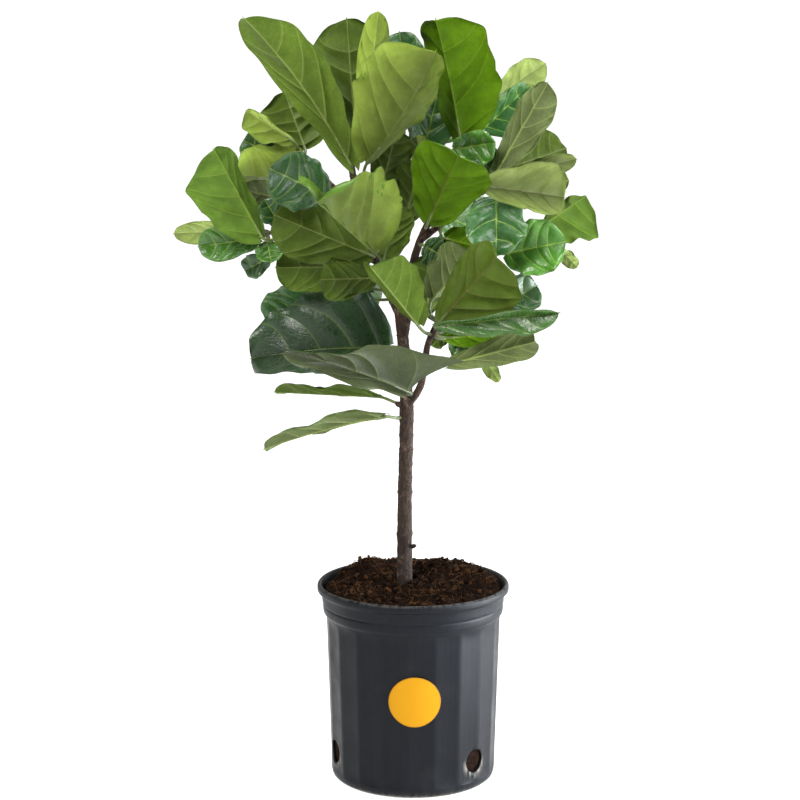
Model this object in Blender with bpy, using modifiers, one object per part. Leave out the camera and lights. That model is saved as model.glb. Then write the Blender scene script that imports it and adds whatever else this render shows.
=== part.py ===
"""A potted fiddle leaf fig: a nursery pot filled with soil, a branched woody stem and its leaves.

Sizes are in metres. +Z is up, the pot's axis is the Z axis and the pot stands on z = 0. The front faces -Y.
Branch and leaf points are given as (across, up, depth): where the point is seen on the upright plane
through the pot's axis, and how far behind that plane it lies, along the line of sight from EYE.
"""

import math
from dataclasses import dataclass

import bmesh
import bpy
import numpy as np
from mathutils import Matrix, Vector

EYE = np.array((-0.017, -3.1, 1.08))

# Pot
RIM_RADIUS = 0.127
POT_HEIGHT = 0.265
WALL_TOP_RADIUS = 0.1155
WALL_FOOT_RADIUS = 0.1092
WALL_TOP = 0.221
WALL_FOOT = 0.013
WALL = 0.0028
FLOOR = 0.0045
PANELS = 20
STEPS_A_PANEL = 2
PANEL_DEPTH = 0.0012
PANEL_TURN = math.radians(-3.6)
HOLE_RADIUS = 0.0155
HOLE_HEIGHT = 0.0415
HOLE_BEARINGS = (48.0, 168.0, 288.0)  # degrees round from the front

# Soil
SOIL_GAP = 0.0008
SOIL_LEVEL = 0.257
SOIL_STEPS = 40
SOIL_RINGS = (0.0, 0.030, 0.058, 0.083, 0.104)
# each mound: across, back, height, spread
MOUNDS = (
    (0.0, 0.0, 0.008, 0.080),
    (-0.062, 0.062, 0.016, 0.032),
    (0.034, 0.058, 0.015, 0.036),
    (0.094, 0.030, 0.008, 0.020),
    (-0.085, -0.040, 0.006, 0.030),
    (0.055, -0.060, 0.006, 0.034),
)
TRUNK_FOOT = (-0.011, 0.0)
TRUNK_HOLE_RADIUS = 0.0131
TRUNK_HOLE_FLOOR = 0.2346

# Label: a plain round sticker on the pot's front
LABEL_RADIUS = 0.0338
LABEL_CENTRE = (0.0015, 0.1336)
LABEL_THICKNESS = 0.0008
LABEL_GAP = 0.0008

# Stem and leaves
BARK_SIDES = 8
TWIG_GAP = 0.0008
ROUTE_POINTS = 60
TWIG_BARE = 12  # no stalk stands on this many route points of a twig's foot
TWIG_SIDES = 6
STALK_RADIUS = 0.0021
STALK_SIDES = 4
STALK_GAP = 0.0006
STALK_SINK = 0.014  # how far a stalk runs into its blade, and TWIG_SINK into its twig
TWIG_SINK = 0.0015
STALK_START = 0.003  # a stalk's straight first stretch
STALK_BENDS = (0.30, 0.35)
BLADE_THICKNESS = 0.0008
BLADE_ROWS = ((0.085, 4), (0.14, 5), (1.0, 6))  # leaves shorter than the length have this many rows
BLADE_COLUMNS = 4
ROW_CROWDING = 0.45  # how far the rows draw together toward the base and the tip
LEAST_WIDTH = 0.06
HOOK_START = 0.6
WAVES = (1.6, 2.0)  # waves along the left and the right margin
EAR_SPREAD = 0.09
WAIST_PLACE = 0.25
WAIST_SPREAD = 0.15
FULLNESS = 2.2  # over 2, the outline is fuller than an ellipse
LEAF_ROUGHNESS = 0.42

TONES = {
    "olive": (0.115, 0.185, 0.035),
    "grey": (0.140, 0.180, 0.085),
    "bright": (0.270, 0.360, 0.080),
    "vivid": (0.130, 0.250, 0.020),
    "pale": (0.400, 0.480, 0.180),
    "mid": (0.055, 0.140, 0.035),
    "dark": (0.030, 0.085, 0.035),
}


@dataclass(frozen=True)
class Branch:
    """A woody branch through its points, with its radius at each end."""

    points: tuple
    foot_radius: float
    tip_radius: float


@dataclass(frozen=True)
class Twig:
    """A green twig that carries on from the end of a branch."""

    branch: str
    points: tuple
    foot_radius: float
    tip_radius: float


@dataclass(frozen=True)
class Leaf:
    """One leaf. Pairs hold the blade's own left and right half.

    face turns the blade about its midrib: 0 shows the upper side, 180 the underside. fold lifts each half
    along the midrib and cup curls it further, in degrees. arch, hook and sway bend the midrib; wave is the
    height of the margin's waves; skew and flare move width to one half and to the base; widest is where the
    blade is widest, below 0 for a blade that narrows from its base, and waist how deep its fiddle shape
    narrows; ear is how far the base lobes reach back, climb how far down its branch it hangs, as a share of
    its distance from the branch, and tone names its colour in TONES.
    """

    name: str
    branch: str
    base: tuple
    tip: tuple
    width: float
    face: float = 180.0
    fold: tuple = (18.0, 18.0)
    cup: tuple = (14.0, 14.0)
    arch: float = 0.0
    hook: float = 0.0
    sway: float = 0.0
    wave: float = 0.004
    skew: float = 0.0
    flare: tuple = (0.0, 0.0)
    widest: float = 0.62
    waist: float = 0.15
    ear: tuple = (0.06, 0.06)
    climb: float = 0.25
    tone: str = "olive"


BRANCHES = {
    "trunk": Branch((
        (-0.011, 0.235, 0.0), (-0.011, 0.377, 0.0), (-0.009, 0.458, 0.0),
        (-0.009, 0.511, 0.0), (-0.013, 0.584, 0.0), (-0.019, 0.633, 0.0)
    ), 0.0125, 0.0065),
    "left": Branch((
        (-0.019, 0.625, 0.0), (-0.037, 0.665, 0.005), (-0.055, 0.715, 0.01),
        (-0.070, 0.770, 0.01), (-0.080, 0.820, 0.01), (-0.077, 0.865, 0.01)
    ), 0.0060, 0.0038),
    "right": Branch((
        (-0.013, 0.590, 0.0), (-0.005, 0.640, 0.02), (0.002, 0.698, 0.03),
        (0.020, 0.745, 0.03), (0.042, 0.800, 0.025), (0.060, 0.850, 0.02),
        (0.072, 0.882, 0.035)
    ), 0.0060, 0.0034),
    "outer": Branch(((0.010, 0.720, 0.03), (0.050, 0.752, 0.02), (0.088, 0.785, 0.0)), 0.0045, 0.0034),
    "low": Branch((
        (-0.009, 0.500, 0.0), (0.010, 0.530, -0.015), (0.019, 0.583, -0.02),
        (0.034, 0.617, -0.02)
    ), 0.0050, 0.0035),
    "side": Branch((
        (0.000, 0.690, 0.03), (0.055, 0.712, 0.04), (0.110, 0.722, 0.045),
        (0.160, 0.738, 0.04)
    ), 0.0044, 0.0032),
    "far_left": Branch((
        (-0.045, 0.690, 0.01), (-0.095, 0.715, 0.02), (-0.140, 0.724, 0.015),
        (-0.176, 0.730, 0.01)
    ), 0.0045, 0.0032),
    "upper_left": Branch((
        (-0.066, 0.755, 0.01), (-0.100, 0.785, 0.035), (-0.125, 0.810, 0.05)
    ), 0.0042, 0.0034),
    "back": Branch((
        (-0.013, 0.580, 0.0), (-0.020, 0.640, 0.06), (-0.030, 0.720, 0.10),
        (-0.025, 0.790, 0.115)
    ), 0.0055, 0.0040),
}

TWIGS = {
    "spray_outer": Twig("outer", ((0.104, 0.800, -0.005), (0.114, 0.812, -0.005)), 0.0030, 0.0026),
    "spray_far_left": Twig("far_left", ((-0.186, 0.729, 0.008), (-0.192, 0.727, 0.006)), 0.0030, 0.0026),
    "spray_upper_left": Twig("upper_left", ((-0.140, 0.826, 0.052), (-0.152, 0.842, 0.05)), 0.0030, 0.0026),
    "spray_back": Twig("back", ((-0.022, 0.830, 0.12), (-0.012, 0.860, 0.12)), 0.0036, 0.0028),
}

LEAVES = [
    # left leader
    Leaf("leaf_long_top_left", "left", (-0.081, 0.818, -0.008), (-0.215, 1.002, -0.06), 0.088,
         face=152, fold=(12, 28), cup=(8, 8), arch=0.018, widest=0.65),
    Leaf("leaf_top_centre", "left", (-0.075, 0.860, 0.028), (-0.085, 1.002, 0.07), 0.110,
         face=180, fold=(15, 15), widest=0.62),
    Leaf("leaf_folded_top", "left", (-0.062, 0.865, 0.0), (-0.045, 1.011, 0.0), 0.060,
         face=180, fold=(42, 42), cup=(20, 20), climb=0.1, tone="bright"),
    Leaf("leaf_bright_bowl", "left", (-0.058, 0.821, -0.04), (0.028, 0.960, -0.09), 0.142,
         face=210, fold=(30, 28), cup=(26, 30), arch=-0.012, skew=0.10, widest=0.65, waist=0.21, climb=0.9,
         tone="bright"),
    Leaf("leaf_top_right", "right", (0.060, 0.851, -0.01), (0.028, 1.000, -0.04), 0.132,
         face=150, fold=(28, 38), cup=(12, 5), arch=0.004, widest=0.54, waist=0.09, tone="vivid"),
    Leaf("leaf_pale_upper_right", "right", (0.106, 0.903, 0.088), (0.168, 0.946, 0.11), 0.048,
         face=180, fold=(20, 20), climb=0.0, tone="pale"),
    Leaf("leaf_glossy_upper_right", "right", (0.090, 0.864, 0.043), (0.147, 0.918, 0.046), 0.082,
         face=35, fold=(30, 30), tone="dark"),
    Leaf("leaf_small_upper_right", "right", (0.055, 0.838, -0.01), (0.105, 0.846, -0.05), 0.050,
         face=20, climb=1.3, tone="mid"),
    Leaf("leaf_tall_right", "outer", (0.106, 0.805, -0.03), (0.171, 0.921, -0.05), 0.060,
         face=145, fold=(12, 12), widest=0.65, climb=0.1, tone="grey"),
    Leaf("round_right", "spray_outer", (0.122, 0.812, 0.02), (0.196, 0.838, 0.05), 0.075, face=180),
    Leaf("folded_right", "spray_outer", (0.112, 0.797, -0.01), (0.209, 0.824, -0.025), 0.036,
         face=180, fold=(35, 35), tone="pale"),
    Leaf("dark_right", "spray_outer", (0.125, 0.795, 0.01), (0.200, 0.796, 0.03), 0.045, face=180),
    Leaf("leaf_pale_shell", "outer", (0.091, 0.789, -0.06), (0.194, 0.775, -0.11), 0.085,
         face=172, fold=(50, 16), cup=(20, 26), skew=0.15, tone="pale"),
    # upper left
    Leaf("folded_left", "spray_upper_left", (-0.156, 0.848, 0.03), (-0.214, 0.886, 0.02), 0.050,
         face=210, fold=(40, 30), tone="bright"),
    Leaf("leaf_left_bowl", "upper_left", (-0.128, 0.798, 0.029), (-0.228, 0.803, 0.027), 0.096,
         face=150, fold=(30, 30), cup=(40, 25), widest=0.55, waist=0.01, tone="bright"),
    Leaf("round_left", "spray_upper_left", (-0.140, 0.840, 0.075), (-0.165, 0.910, 0.11), 0.112, face=180),
    Leaf("dark_left", "spray_upper_left", (-0.172, 0.825, 0.062), (-0.218, 0.848, 0.078), 0.045,
         face=0, tone="grey"),
    # far left
    Leaf("leaf_far_left", "far_left", (-0.196, 0.724, -0.02), (-0.256, 0.836, -0.06), 0.108,
         face=212, fold=(38, 30), cup=(5, 14), widest=0.57, waist=0.09, tone="vivid"),
    Leaf("pale_far_left", "spray_far_left", (-0.215, 0.731, 0.03), (-0.307, 0.728, 0.04), 0.033,
         face=180, fold=(20, 20), hook=0.01, tone="pale"),
    Leaf("glossy_far_left", "spray_far_left", (-0.200, 0.722, 0.012), (-0.278, 0.711, 0.0), 0.050,
         face=0, tone="mid"),
    Leaf("short_far_left", "spray_far_left", (-0.189, 0.717, -0.005), (-0.184, 0.690, -0.02), 0.040,
         face=0, tone="mid"),
    Leaf("low_far_left", "spray_far_left", (-0.186, 0.697, 0.035), (-0.218, 0.680, 0.05), 0.036,
         face=0, climb=0.0, tone="dark"),
    # middle
    Leaf("leaf_dark_left", "upper_left", (-0.113, 0.778, -0.02), (-0.185, 0.812, -0.055), 0.080,
         face=0, tone="dark"),
    Leaf("leaf_grey_left", "upper_left", (-0.144, 0.767, 0.018), (-0.222, 0.785, 0.014), 0.042,
         face=180, fold=(25, 25), tone="grey"),
    Leaf("leaf_bright_middle", "left", (-0.048, 0.700, -0.06), (-0.124, 0.768, -0.19), 0.165,
         face=150, fold=(30, 50), cup=(10, 10), widest=0.47, waist=-0.01, tone="bright"),
    Leaf("leaf_wide_middle_left", "left", (-0.056, 0.700, -0.021), (-0.178, 0.752, -0.042), 0.092,
         face=180),
    Leaf("leaf_middle_right", "right", (0.019, 0.743, -0.02), (0.057, 0.828, -0.11), 0.108,
         face=180, fold=(15, 15), widest=0.67, tone="vivid"),
    Leaf("leaf_small_middle", "left", (-0.040, 0.690, 0.03), (-0.020, 0.765, 0.02), 0.060, face=180),
    Leaf("leaf_inner_dark", "back", (-0.030, 0.786, 0.088), (-0.010, 0.828, 0.075), 0.076,
         face=0, tone="dark"),
    Leaf("leaf_inner_small", "right", (0.015, 0.712, 0.004), (0.036, 0.700, -0.004), 0.046,
         face=0, tone="dark"),
    Leaf("leaf_inner_right", "outer", (0.092, 0.795, 0.04), (0.110, 0.835, 0.06), 0.066,
         face=0, tone="dark"),
    # right side
    Leaf("leaf_glossy_hanging", "outer", (0.107, 0.772, -0.022), (0.107, 0.699, -0.050), 0.088,
         face=0, widest=0.38, climb=0.6, tone="dark"),
    Leaf("leaf_round_right", "side", (0.120, 0.702, 0.0), (0.197, 0.718, -0.03), 0.080,
         face=0, widest=0.5, tone="mid"),
    Leaf("leaf_far_right", "side", (0.164, 0.737, 0.014), (0.222, 0.777, 0.034), 0.094,
         face=150, fold=(28, 42), skew=-0.1, tone="vivid"),
    Leaf("leaf_curled_right", "side", (0.188, 0.708, 0.03), (0.212, 0.684, 0.03), 0.024,
         face=180, fold=(30, 30), tone="pale"),
    Leaf("leaf_yellow_inner", "outer", (0.040, 0.722, 0.0), (0.090, 0.708, -0.015), 0.060,
         face=180, climb=0.0, tone="vivid"),
    Leaf("leaf_grey_right", "low", (0.025, 0.643, -0.026), (0.080, 0.699, -0.034), 0.070,
         face=205, fold=(35, 28), skew=0.15, climb=0.1, tone="grey"),
    Leaf("leaf_brown_veined", "low", (0.033, 0.612, -0.045), (0.107, 0.698, -0.105), 0.108,
         face=165, fold=(20, 25), skew=-0.15, widest=0.68),
    Leaf("leaf_glossy_low_right", "low", (0.100, 0.626, 0.0), (0.160, 0.660, 0.03), 0.060,
         face=0, tone="dark"),
    Leaf("leaf_flat_right", "low", (0.034, 0.608, -0.06), (0.189, 0.625, -0.115), 0.046,
         face=30, fold=(38, 30), tone="mid"),
    Leaf("leaf_vivid_low_right", "low", (0.045, 0.592, -0.012), (0.150, 0.600, -0.005), 0.044,
         face=180, tone="vivid"),
    Leaf("leaf_hooked_right", "low", (0.046, 0.557, -0.012), (0.172, 0.590, -0.08), 0.042,
         face=180, hook=0.03, tone="grey"),
    # lower left
    Leaf("leaf_great_lower", "trunk", (-0.006, 0.520, -0.05), (-0.166, 0.574, -0.19), 0.074,
         face=140, fold=(12, 14), cup=(8, 10), skew=-0.1, widest=-0.1, waist=0.0, flare=(0.75, -0.6),
         ear=(0.21, 0.04), sway=-0.005, tone="grey"),
    Leaf("leaf_great_dark", "trunk", (-0.036, 0.578, 0.042), (-0.211, 0.564, 0.055), 0.160,
         face=25, fold=(38, 25), cup=(15, 10), arch=0.012, widest=0.44, waist=0.05, flare=(0.0, 0.25),
         tone="dark"),
    Leaf("leaf_glossy_low_left", "back", (-0.120, 0.645, 0.095), (-0.190, 0.612, 0.11), 0.078,
         face=0, tone="dark"),
    Leaf("leaf_edge_on_upper", "trunk", (-0.048, 0.514, 0.03), (-0.181, 0.520, 0.04), 0.060,
         face=100, fold=(12, 12)),
    Leaf("leaf_edge_on_lower", "trunk", (-0.038, 0.487, -0.02), (-0.195, 0.444, -0.05), 0.060,
         face=108, fold=(12, 12), arch=0.004, tone="grey"),
    Leaf("leaf_olive_left", "left", (-0.074, 0.685, 0.015), (-0.178, 0.684, 0.005), 0.072,
         face=180, climb=0.9),
    Leaf("leaf_olive_small", "left", (-0.049, 0.670, -0.026), (-0.120, 0.668, -0.058), 0.060, face=180),
    Leaf("leaf_dark_small", "back", (-0.052, 0.656, 0.075), (-0.114, 0.667, 0.09), 0.030,
         face=0, tone="dark"),
    Leaf("leaf_hanging_middle", "low", (0.006, 0.608, -0.045), (-0.056, 0.685, -0.095), 0.088,
         face=150, fold=(30, 46)),
    # inner and rear
    Leaf("dark_crown", "spray_back", (-0.005, 0.895, 0.10), (-0.018, 0.985, 0.12), 0.062,
         face=0, tone="dark"),
    Leaf("dark_between", "spray_back", (0.012, 0.832, 0.10), (0.036, 0.930, 0.08), 0.080,
         face=10, tone="dark"),
    Leaf("rear_crown_left", "spray_back", (-0.040, 0.835, 0.15), (-0.080, 0.900, 0.24), 0.092,
         face=0, tone="mid"),
    Leaf("rear_crown_right", "spray_back", (0.030, 0.850, 0.16), (0.075, 0.915, 0.25), 0.092,
         face=0, tone="mid"),
    Leaf("leaf_rear_top_left", "left", (-0.088, 0.855, 0.10), (-0.112, 0.925, 0.19), 0.080,
         face=0, tone="mid"),
    Leaf("leaf_inner_olive", "back", (-0.012, 0.745, 0.06), (0.008, 0.815, 0.035), 0.070, face=180),
    Leaf("leaf_rear_right", "back", (0.030, 0.755, 0.15), (0.080, 0.735, 0.25), 0.095, face=0, tone="mid"),
    Leaf("leaf_rear_left", "back", (-0.070, 0.745, 0.14), (-0.130, 0.750, 0.22), 0.105, face=0, tone="mid"),
    Leaf("leaf_rear_low_left", "back", (-0.045, 0.680, 0.13), (-0.080, 0.650, 0.23), 0.092,
         face=0, tone="mid"),
    Leaf("leaf_rear_low_right", "back", (0.030, 0.660, 0.11), (0.085, 0.640, 0.20), 0.090,
         face=0, tone="mid"),
]


def sight(across, up, depth):
    """The point seen at (across, up) on the pot's upright plane, moved along the line of sight."""
    on_plane = np.array((across, 0.0, up))
    reach = (depth - EYE[1]) / -EYE[1]
    return EYE + (on_plane - EYE) * reach


def unit(vector):
    return vector / np.linalg.norm(vector)


def curve_through(points, count):
    """A smooth line through the points, with count points along it."""
    p = np.asarray(points, float)
    p = np.vstack([2 * p[0] - p[1], p, 2 * p[-1] - p[-2]])
    spans = len(p) - 3
    line = []
    for place in np.linspace(0, spans, count):
        i = min(int(place), spans - 1)
        u = place - i
        a, b, c, d = p[i : i + 4]
        linear = (c - a) * u
        square = (2 * a - 5 * b + 4 * c - d) * u**2
        cube = (3 * b - a - 3 * c + d) * u**3
        line.append(0.5 * (2 * b + linear + square + cube))
    return np.array(line)


def route_of(name, count):
    """The line of a branch or twig and its radius along it."""
    if name in BRANCHES:
        route = BRANCHES[name]
        line = curve_through([sight(*p) for p in route.points], count)
    else:
        route = TWIGS[name]
        whole = curve_through([sight(*p) for p in BRANCHES[route.branch].points], ROUTE_POINTS)
        heading = unit(whole[-1] - whole[-2])
        start = whole[-1] + heading * TWIG_GAP
        line = curve_through([start] + [sight(*p) for p in route.points], count)
        line = np.insert(line, 1, start + heading * STALK_START / 2, axis=0)
    return line, np.linspace(route.foot_radius, route.tip_radius, len(line))


def leaf_frame(leaf):
    """Base point, direction along, upper side's normal, sideways direction and length of a leaf."""
    base = sight(*leaf.base)
    tip = sight(*leaf.tip)
    length = np.linalg.norm(tip - base)
    along = (tip - base) / length
    view = unit(EYE - (base + tip) / 2)
    level = unit(view - along * view.dot(along))
    turn = math.radians(leaf.face)
    up = math.cos(turn) * level + math.sin(turn) * np.cross(along, level)
    return base, along, up, np.cross(along, up), length


def midrib(leaf, t):
    """Places, directions along and across, and the normals along the midrib, over t from base to tip."""
    base, along, up, side, length = leaf_frame(leaf)
    t = np.asarray(t, float)[:, None]
    late = np.clip((t - HOOK_START) / (1 - HOOK_START), 0, None)
    bow = leaf.arch * 4 * t * (1 - t) - leaf.hook * late**2
    slope = leaf.arch * 4 * (1 - 2 * t) - leaf.hook * 2 * late / (1 - HOOK_START)
    drift = leaf.sway * 4 * t * (1 - t)
    place = base + along * length * t + up * bow + side * drift
    heading = along * length + up * slope + side * leaf.sway * 4 * (1 - 2 * t)
    heading /= np.linalg.norm(heading, axis=1)[:, None]
    across = side - heading * (heading @ side)[:, None]
    across /= np.linalg.norm(across, axis=1)[:, None]
    return place, heading, across, np.cross(across, heading), length


def half_share(t, leaf):
    """Half width of the fiddle outline at t, as a share of the widest."""
    away = np.where(t < leaf.widest, 1 - t / leaf.widest, (t - leaf.widest) / (1 - leaf.widest))
    body = np.sqrt(np.clip(1 - away**FULLNESS, 0, 1))
    waist = leaf.waist * np.exp(-(((t - WAIST_PLACE) / WAIST_SPREAD) ** 2))
    return np.clip(body * (1 - waist), LEAST_WIDTH, 1.0)


def blade_points(leaf, number, rows, columns):
    """The blade's middle surface: rows from base to tip, columns from its own left edge to its right."""
    even = np.linspace(0, 1, rows + 1)
    t = (1 - ROW_CROWDING) * even + ROW_CROWDING * (0.5 - 0.5 * np.cos(np.pi * even))
    place, along, side, up, length = midrib(leaf, t)
    half = half_share(t, leaf) * leaf.width / 2
    phase = np.random.default_rng(number).uniform(0, 2 * np.pi, 2)
    points = np.empty((rows + 1, columns + 1, 3))
    for j, across in enumerate(np.linspace(-1, 1, columns + 1)):
        right = int(across > 0)
        u = abs(across)
        reach = half * (1 + leaf.skew * (1 if right else -1)) * (1 + leaf.flare[right] * (1 - 2 * t))
        fold = math.radians(leaf.fold[right])
        cup = math.radians(leaf.cup[right])
        out = (math.sin(fold + cup * u) - math.sin(fold)) / cup
        rise = (math.cos(fold) - math.cos(fold + cup * u)) / cup
        ripple = leaf.wave * u**2 * np.sin(2 * np.pi * WAVES[right] * t + phase[right])
        ripple *= np.sin(np.pi * np.clip(t, 0.04, 0.96)) ** 0.5
        back = leaf.ear[right] * length * u**2 * np.exp(-t / EAR_SPREAD)
        outward = side * (np.sign(across) * reach * out)[:, None]
        points[:, j] = place + outward + up * (reach * rise + ripple)[:, None] - along * back[:, None]
    return points


def stalk_route(leaf):
    """The leaf stalk's line, from its branch's bark into the blade's base."""
    line, radius = route_of(leaf.branch, ROUTE_POINTS)
    gap = STALK_GAP if leaf.branch in BRANCHES else -TWIG_SINK
    place, along, _, _, _ = midrib(leaf, (0.0, 0.01))
    base, heading = place[0], along[0]
    away = np.linalg.norm(line - base, axis=1)
    nearest = int(away.argmin())
    step = np.linalg.norm(np.diff(line, axis=0), axis=1).mean()
    lowest = 1 if leaf.branch in BRANCHES else TWIG_BARE
    k = max(lowest, min(ROUTE_POINTS - 2, nearest - int(leaf.climb * away[nearest] / step)))
    axis = unit(line[k + 1] - line[k - 1])
    out = base - line[k]
    out = unit(out - axis * out.dot(axis))
    foot = line[k] + out * (radius[k] + gap)
    start = foot + out * STALK_START
    reach = np.linalg.norm(base - start)
    a = start + out * reach * STALK_BENDS[0]
    b = base - heading * reach * STALK_BENDS[1]
    u = np.linspace(0, 1, 4)[:, None]
    bend = start * (1 - u) ** 3 + 3 * a * u * (1 - u) ** 2 + 3 * b * u**2 * (1 - u) + base * u**3
    return np.vstack([foot, bend, base + heading * STALK_SINK])


def clear_scene():
    """Removes the objects that the scene starts with."""
    for obj in list(bpy.data.objects):
        bpy.data.objects.remove(obj, do_unlink=True)


def new_collection(name):
    collection = bpy.data.collections.new(name)
    bpy.context.scene.collection.children.link(collection)
    return collection


def finish(name, colour, roughness):
    """A plain Principled material."""
    material = bpy.data.materials.new(name)
    material.use_nodes = True
    shader = material.node_tree.nodes["Principled BSDF"]
    shader.inputs["Base Color"].default_value = (*colour, 1.0)
    shader.inputs["Roughness"].default_value = roughness
    return material


def coat(obj, name, colour, roughness):
    """Gives the object one material of its own."""
    obj.data.materials.clear()
    obj.data.materials.append(finish(name, colour, roughness))


def add(name, data, collection):
    obj = bpy.data.objects.new(name, data)
    collection.objects.link(obj)
    return obj


def evaluated_mesh(obj):
    """The object's mesh with its modifiers applied, in world space, with coincident corners welded."""
    bpy.context.view_layer.update()
    graph = bpy.context.evaluated_depsgraph_get()
    mesh = bpy.data.meshes.new_from_object(obj.evaluated_get(graph))
    mesh.transform(obj.matrix_world)
    shape = bmesh.new()
    shape.from_mesh(mesh)
    bmesh.ops.remove_doubles(shape, verts=shape.verts, dist=1e-6)
    bmesh.ops.recalc_face_normals(shape, faces=shape.faces)
    shape.to_mesh(mesh)
    shape.free()
    return mesh


def applied(obj):
    """Swaps the object's mesh for its evaluated one and drops the modifiers."""
    mesh = evaluated_mesh(obj)
    obj.modifiers.clear()
    obj.data = mesh
    return obj


def tube(name, line, radii, sides, collection):
    """A round tube along the line, as a mesh."""
    curve = bpy.data.curves.new(name, "CURVE")
    curve.dimensions = "3D"
    curve.bevel_depth = 1.0
    curve.bevel_resolution = 0
    curve.use_fill_caps = True
    profile = bpy.data.curves.new(name + "_profile", "CURVE")
    ring = profile.splines.new("POLY")
    ring.points.add(sides - 1)
    for i, point in enumerate(ring.points):
        angle = 2 * math.pi * i / sides
        point.co = (math.cos(angle), math.sin(angle), 0.0, 1.0)
    ring.use_cyclic_u = True
    section = add(name + "_section", profile, collection)
    curve.bevel_mode = "OBJECT"
    curve.bevel_object = section
    spline = curve.splines.new("POLY")
    spline.points.add(len(line) - 1)
    for point, place, radius in zip(spline.points, line, radii):
        point.co = (*place, 1.0)
        point.radius = radius
    guide = add(name + "_guide", curve, collection)
    made = add(name, evaluated_mesh(guide), collection)
    for helper in (guide, section):
        bpy.data.objects.remove(helper, do_unlink=True)
    return made


def join(base, others):
    """Fuses the others into base with Boolean unions and removes them."""
    for other in others:
        union = base.modifiers.new("union_" + other.name, "BOOLEAN")
        union.operation = "UNION"
        union.solver = "MANIFOLD"
        union.object = other
    applied(base)
    for other in others:
        bpy.data.objects.remove(other, do_unlink=True)
    return base


def cut(base, cutters):
    """Cuts each cutter out of base."""
    for cutter in cutters:
        hole = base.modifiers.new("cut_" + cutter.name, "BOOLEAN")
        hole.operation = "DIFFERENCE"
        hole.solver = "EXACT"
        hole.object = cutter


def lathe(name, profile, steps, collection):
    """The profile of (radius, height) points turned about Z, with an edge on each panel's ridge."""
    mesh = bpy.data.meshes.new(name)
    mesh.from_pydata([(r, 0.0, z) for r, z in profile], [(i, i + 1) for i in range(len(profile) - 1)], [])
    obj = add(name, mesh, collection)
    screw = obj.modifiers.new("turn", "SCREW")
    screw.steps = steps
    screw.render_steps = steps
    screw.use_merge_vertices = True
    screw.merge_threshold = 0.00001
    applied(obj).data.transform(Matrix.Rotation(PANEL_TURN, 4, "Z"))
    return obj


def cylinder(name, radius, length, collection):
    shape = bmesh.new()
    bmesh.ops.create_cone(
        shape, cap_ends=True, segments=24, radius1=radius, radius2=radius, depth=length
    )
    mesh = bpy.data.meshes.new(name)
    shape.to_mesh(mesh)
    shape.free()
    return as_cutter(add(name, mesh, collection))


def as_cutter(obj):
    obj.hide_render = True
    obj.display_type = "WIRE"
    return obj


def wall_radius(z):
    """Outer radius of the pot's tapered wall."""
    share = (z - WALL_FOOT) / (WALL_TOP - WALL_FOOT)
    return WALL_FOOT_RADIUS + (WALL_TOP_RADIUS - WALL_FOOT_RADIUS) * share


def build_pot(collection, cutters):
    """The nursery pot: rolled lip, two bands, a tapered wall of shallow panels and three drain holes."""
    band = WALL_TOP_RADIUS
    inside = WALL_TOP_RADIUS - WALL
    profile = [
        (0.0, FLOOR),
        (WALL_FOOT_RADIUS - 0.011, FLOOR),
        (WALL_FOOT_RADIUS - WALL - 0.0015, WALL_FOOT),
        (inside, WALL_TOP),
        (inside + 0.0035, WALL_TOP + 0.005),
        (inside + 0.0042, POT_HEIGHT - 0.013),
        (RIM_RADIUS - 0.0050, POT_HEIGHT - 0.0008),
        (RIM_RADIUS - 0.0025, POT_HEIGHT),
        (RIM_RADIUS, POT_HEIGHT - 0.0028),
        (RIM_RADIUS, POT_HEIGHT - 0.0100),
        (RIM_RADIUS - 0.0055, POT_HEIGHT - 0.0125),
        (band + 0.0048, POT_HEIGHT - 0.0255),
        (band + 0.0033, POT_HEIGHT - 0.0275),
        (band + 0.0042, POT_HEIGHT - 0.0295),
        (band + 0.0036, POT_HEIGHT - 0.0385),
        (band, WALL_TOP + 0.0010),
        (band, WALL_TOP - 0.0020),
        (WALL_FOOT_RADIUS, WALL_FOOT),
        (WALL_FOOT_RADIUS - 0.0018, 0.0045),
        (WALL_FOOT_RADIUS - 0.0075, 0.0),
        (0.0, 0.0),
    ]
    pot = lathe("pot", profile, PANELS * STEPS_A_PANEL, collection)
    for vertex in pot.data.vertices:
        x, y, z = vertex.co
        radius = math.hypot(x, y)
        on_wall = WALL_FOOT - 0.0001 < z < WALL_TOP - 0.0019 and radius > wall_radius(z) - 0.0005
        if not on_wall:
            continue
        turn = (math.atan2(x, -y) - PANEL_TURN) * PANELS / (2 * math.pi)
        middle = 1 - abs(2 * (turn - math.floor(turn)) - 1)
        share = (radius - PANEL_DEPTH * math.sin(math.pi / 2 * middle)) / radius
        vertex.co.x *= share
        vertex.co.y *= share
    holes = []
    for number, bearing in enumerate(HOLE_BEARINGS, 1):
        hole = cylinder(f"drain_hole_{number}", HOLE_RADIUS, 0.030, cutters)
        turn = math.radians(bearing)
        out = Vector((math.sin(turn), -math.cos(turn), 0.0))
        hole.location = out * WALL_FOOT_RADIUS + Vector((0.0, 0.0, HOLE_HEIGHT))
        hole.rotation_euler = out.to_track_quat("Z", "Y").to_euler()
        holes.append(hole)
    cut(pot, holes)
    coat(pot, "pot_plastic", (0.045, 0.049, 0.055), 0.45)
    return pot


def soil_height(x, y):
    """Height of the soil's surface, mounded round the trunk."""
    height = SOIL_LEVEL
    for across, back, rise, spread in MOUNDS:
        away = math.hypot(x - across, y - back)
        height += rise * math.exp(-((away / spread) ** 2))
    return height


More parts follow.
